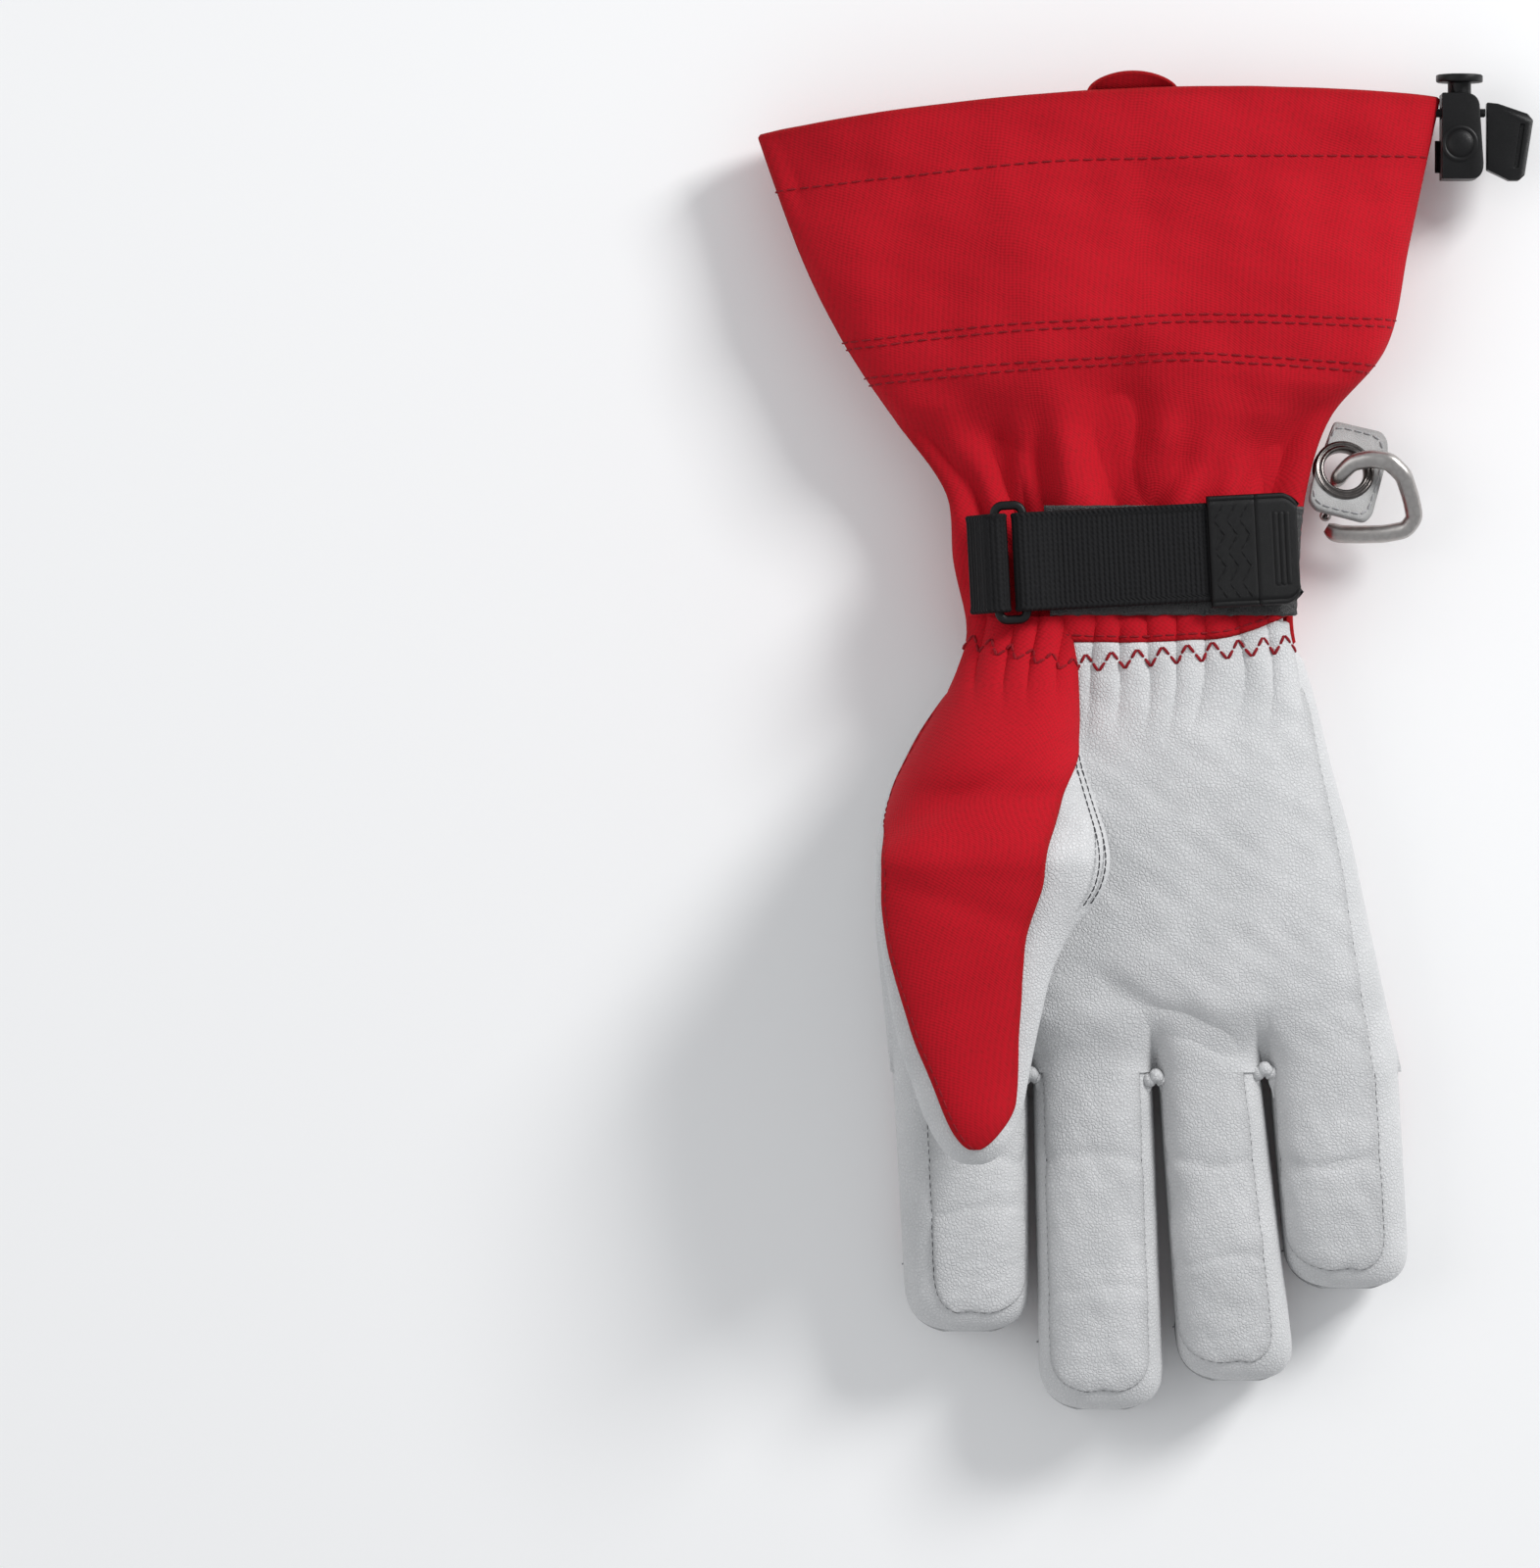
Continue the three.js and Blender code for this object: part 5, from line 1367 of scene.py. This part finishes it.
def from_side(grid, distance, side):
    """Signed distance inside one edge of a grid: negative nearer than `distance`, positive beyond it."""
    axis = 1 if side in "lr" else 0
    run = run_length(grid, axis)
    last = run[:, -1:] if axis else run[-1:]
    return (run if side in "lb" else last - run) - distance


UP, DOWN = (0, 0, 1), (0, 0, -1)

# %% Stitches on the palm and the fingers
GROOVE = 0.55
seam_rows = [run_of(line_where(palm, from_side(palm, GROOVE, "r"), 1, UP, 0.15), 2.2, 0.5)]
seam_rows.append(run_of(line_where(palm, from_side(palm, GROOVE, "l"), 1, UP, 0.15), 2.2, 0.5))
belongs(stitches("palm_seam_stitches", seam_rows, grey_thread, 0.28), "hand", "leather")
for name, (front, rear) in finger_bodies.items():
    rows = [run_of(line_where(front, from_side(front, GROOVE, side), axis, UP, 0.15), 1.7, 0.45)
            for side, axis in (("l", 1), ("r", 1), ("t", 0))]
    bends(stitches(name + "_seam_stitches", rows, grey_thread, 0.28), name, "leather")
palm_zigzag = line_where(palm, palm[..., 1] - (39.6 + 0.096 * palm[..., 0]), 0, UP)
palm_zigzag = tuple(part[palm_zigzag[0][:, 0] > -19] for part in palm_zigzag)
belongs(stitches("palm_zigzag_stitches", [zigzag_of(palm_zigzag, 2.5, 7.0)], red_thread, 0.42), "hand",
        "shell_fabric")

# %% Stitches on the thumb
edge_row = run_of(line_where(red_grid, from_side(red_grid, 1.9, "l"), 1, UP, 0.75), 2.4, 0.8)
keep = edge_row[0][:, 1] < 24
thumb_bends(stitches("thumb_edge_stitches", [tuple(part[keep] for part in edge_row)], red_thread),
            "shell_fabric")
root_zigzag = line_where(red_grid, red_grid[..., 1] - (32.4 - 0.245 * red_grid[..., 0]), 0, UP, 0.8)
belongs(stitches("thumb_root_zigzag", [zigzag_of(root_zigzag, 2.2, 6.6)], red_thread, 0.4), "hand",
        "shell_fabric")
y = np.linspace(15, -24, 60)[:, None]
for number, across in enumerate((0.90, 0.955)):
    edge = thumb_point(np.full((60, 1), across), y, 1)[:, 0]
    beside = thumb_point(np.full((60, 1), across - 0.02), y, 1)[:, 0] - edge
    normal = np.cross(beside, np.gradient(edge, axis=0))
    normal /= np.linalg.norm(normal, axis=1, keepdims=True)
    normal = normal * np.sign(normal[:, 2:])
    thumb_bends(stitches(f"gusset_stitches_{number}", [run_of((edge, normal), 1.8, 0.25)], grey_thread, 0.2),
                "leather")

# %% Stitches on the cuff
def cuff_line(grid, stations, heights, facing, lift):
    """A line across the cuff at heights given at stations along X."""
    wanted = eased(grid[..., 0], stations, heights, 10)
    return run_of(line_where(grid, grid[..., 1] - wanted, 0, facing, lift), 2.6, 0.9)


UPPER = ([-75, -40, 12, 63], [119.3, 123.0, 126.3, 125.0])
LOWER = ([-69, -35, 5, 58], [110.3, 113.6, 116.6, 113.7])
HEM_LINE = ([-95, -60, -23, 30, 73], [158.6, 162.4, 165.9, 167.6, 167.7])
for side_name, grid, facing, lift in (("palm", cuff_palm, UP, 0.95), ("back", cuff_back, DOWN, 0.55)):
    rows = [cuff_line(grid, *HEM_LINE, facing, lift)]
    for stations, heights in (UPPER, LOWER):
        rows += [cuff_line(grid, stations, np.add(heights, shift), facing, lift) for shift in (0.9, -0.9)]
    belongs(stitches(f"cuff_{side_name}_stitches", rows, red_thread, 0.26), "hand", "shell_fabric")
edge_line = line_where(cuff_palm, from_side(cuff_palm, 1.8, "b"), 0, UP, 0.95)
edge_line = tuple(part[edge_line[0][:, 0] > -22] for part in edge_line)
belongs(stitches("wrist_edge_stitches", [run_of(edge_line, 2.4, 0.8)], red_thread, 0.26), "hand",
        "shell_fabric")
elastic = line_where(back, back[..., 1] - (43.6 + 0.055 * back[..., 0]), 0, DOWN)
across_back = [run_of(line_where(back, back[..., 1] - (5 + 0.05 * back[..., 0] + shift), 0, DOWN), 2.4, 0.8)
               for shift in (2.2, 4.0)]
belongs(stitches("hand_back_stitches", [zigzag_of(elastic, 2.2, 6.0), *across_back], red_thread, 0.28),
        "hand", "shell_fabric")

# %% Stitches on caps, patch, suede tab and pull tab
for name, length in TIP_CAP.items():
    tip_y = FINGERS[name][2]
    cap = back_strip(name, tip_y + 0.5, tip_y + length, 0.93)
    rows = [run_of(line_where(cap, from_side(cap, 1.5, "t"), 0, DOWN, 1.65), 2.0, 0.7)]
    if name == "little":
        band = back_strip("little", *LOOP_ENDS, 0.9)
        rows += [run_of(line_where(band, from_side(band, inset, side), 0, DOWN, 1.65), 2.0, 0.7)
                 for inset, side in ((1.6, "t"), (1.6, "b"))]
    bends(stitches(name + "_cap_stitches", rows, pale_thread), name, "leather")
line = soft_outline(PATCH_MIDDLE + (PATCH - PATCH_MIDDLE) * 0.9, 110, 4)
line = np.vstack([line, line[:1]])
below = np.concatenate([line, np.full((len(line), 1), 0.85)], 1)
down = np.broadcast_to([0.0, 0.0, -1.0], below.shape)
belongs(stitches("patch_stitches", [run_of((below, down), 2.4, 1.0)], grey_thread), "hand", "leather")
chevrons = []
for low_y in (-5.0, 0.5, 6.0):
    share = np.linspace(-1, 1, 80)
    bent = np.stack([PATCH_MIDDLE[0] + 8 * share, PATCH_MIDDLE[1] + low_y + 5 * np.abs(share),
                     0.3 + 0 * share], -1)
    chevrons.append(run_of((bent, np.broadcast_to([0.0, 0.0, -1.0], bent.shape)), 1.2, 0.1))
belongs(stitches("patch_chevrons", chevrons, pale_thread, 0.3), "hand", "leather")
ring_line = tab_plan[int(21 * 0.80)]
over = lean(ring_line, np.full(len(ring_line), 0.85), (EYELET_X, EYELET_Y), TAB_LEAN)
away = np.broadcast_to(lean(ring_line[:1], [1.0], (EYELET_X, EYELET_Y), TAB_LEAN)
                       - lean(ring_line[:1], [0.0], (EYELET_X, EYELET_Y), TAB_LEAN), over.shape)
outer = np.linalg.norm(ring_line - [EYELET_X, EYELET_Y], axis=1) > RIM + 0.9
rows = run_of((over, away), 1.9, 0.6)
keep = np.linalg.norm(rows[0][:, :2] - [EYELET_X, EYELET_Y], axis=1) > RIM + 0.4
belongs(stitches("suede_tab_stitches", [tuple(part[keep] for part in rows)], pale_thread, 0.26), "hand",
        "leather")
zigs = []
for local_x in (53.4, 56.6, 59.8):
    y = np.linspace(-12, 12, 60)
    flat = np.stack([np.full(60, local_x), y, np.full(60, strap_level(local_x) + 2.75)], -1)
    zigs.append(zigzag_of((strap_place(flat), np.broadcast_to([0.0, 0.0, 1.0], flat.shape)), 1.3, 8.0))
belongs(stitches("pull_tab_stitches", zigs, black_thread, 0.2), "strap_flap", "black_webbing")
print("stitches done")

# %% [markdown]
# ## Crotch rolls
# Between two fingers the side strips turn round the crotch in one small roll of leather, tucked by its
# stitches. Each roll is a thin tube along a U, thickest where it turns.

# %% Rolls between the fingers
for number, (x, y) in enumerate(((-29.6, -66.6), (2.2, -67.2), (29.9, -65.4))):
    turn = np.linspace(-1, 1, 40)
    path = np.stack([x + 2.9 * np.sin(turn * 1.45), y - 6.8 * np.abs(turn) ** 3.2 + 0.3 * np.cos(turn * 9),
                     23.2 - 3.2 * np.abs(turn) ** 1.5 + 0.25 * np.sin(turn * 14)], -1)
    ahead = np.gradient(path, axis=0)
    ahead /= np.linalg.norm(ahead, axis=1, keepdims=True)
    side = np.cross(ahead, [0, 0, 1.0])
    side /= np.linalg.norm(side, axis=1, keepdims=True)
    size = (1.7 + 0.3 * np.cos(turn * 16)) * (1 - 0.55 * np.abs(turn) ** 4)
    ring_turn = np.linspace(0, 2 * np.pi, 16, endpoint=False)
    around = (side[:, None] * np.cos(ring_turn)[:, None]
              + np.cross(side, ahead)[:, None] * np.sin(ring_turn)[:, None])
    belongs(closed_tube(f"crotch_roll_{number}", path[:, None] + around * size[:, None, None],
                        white_leather), "hand", "leather")
print("crotch rolls")
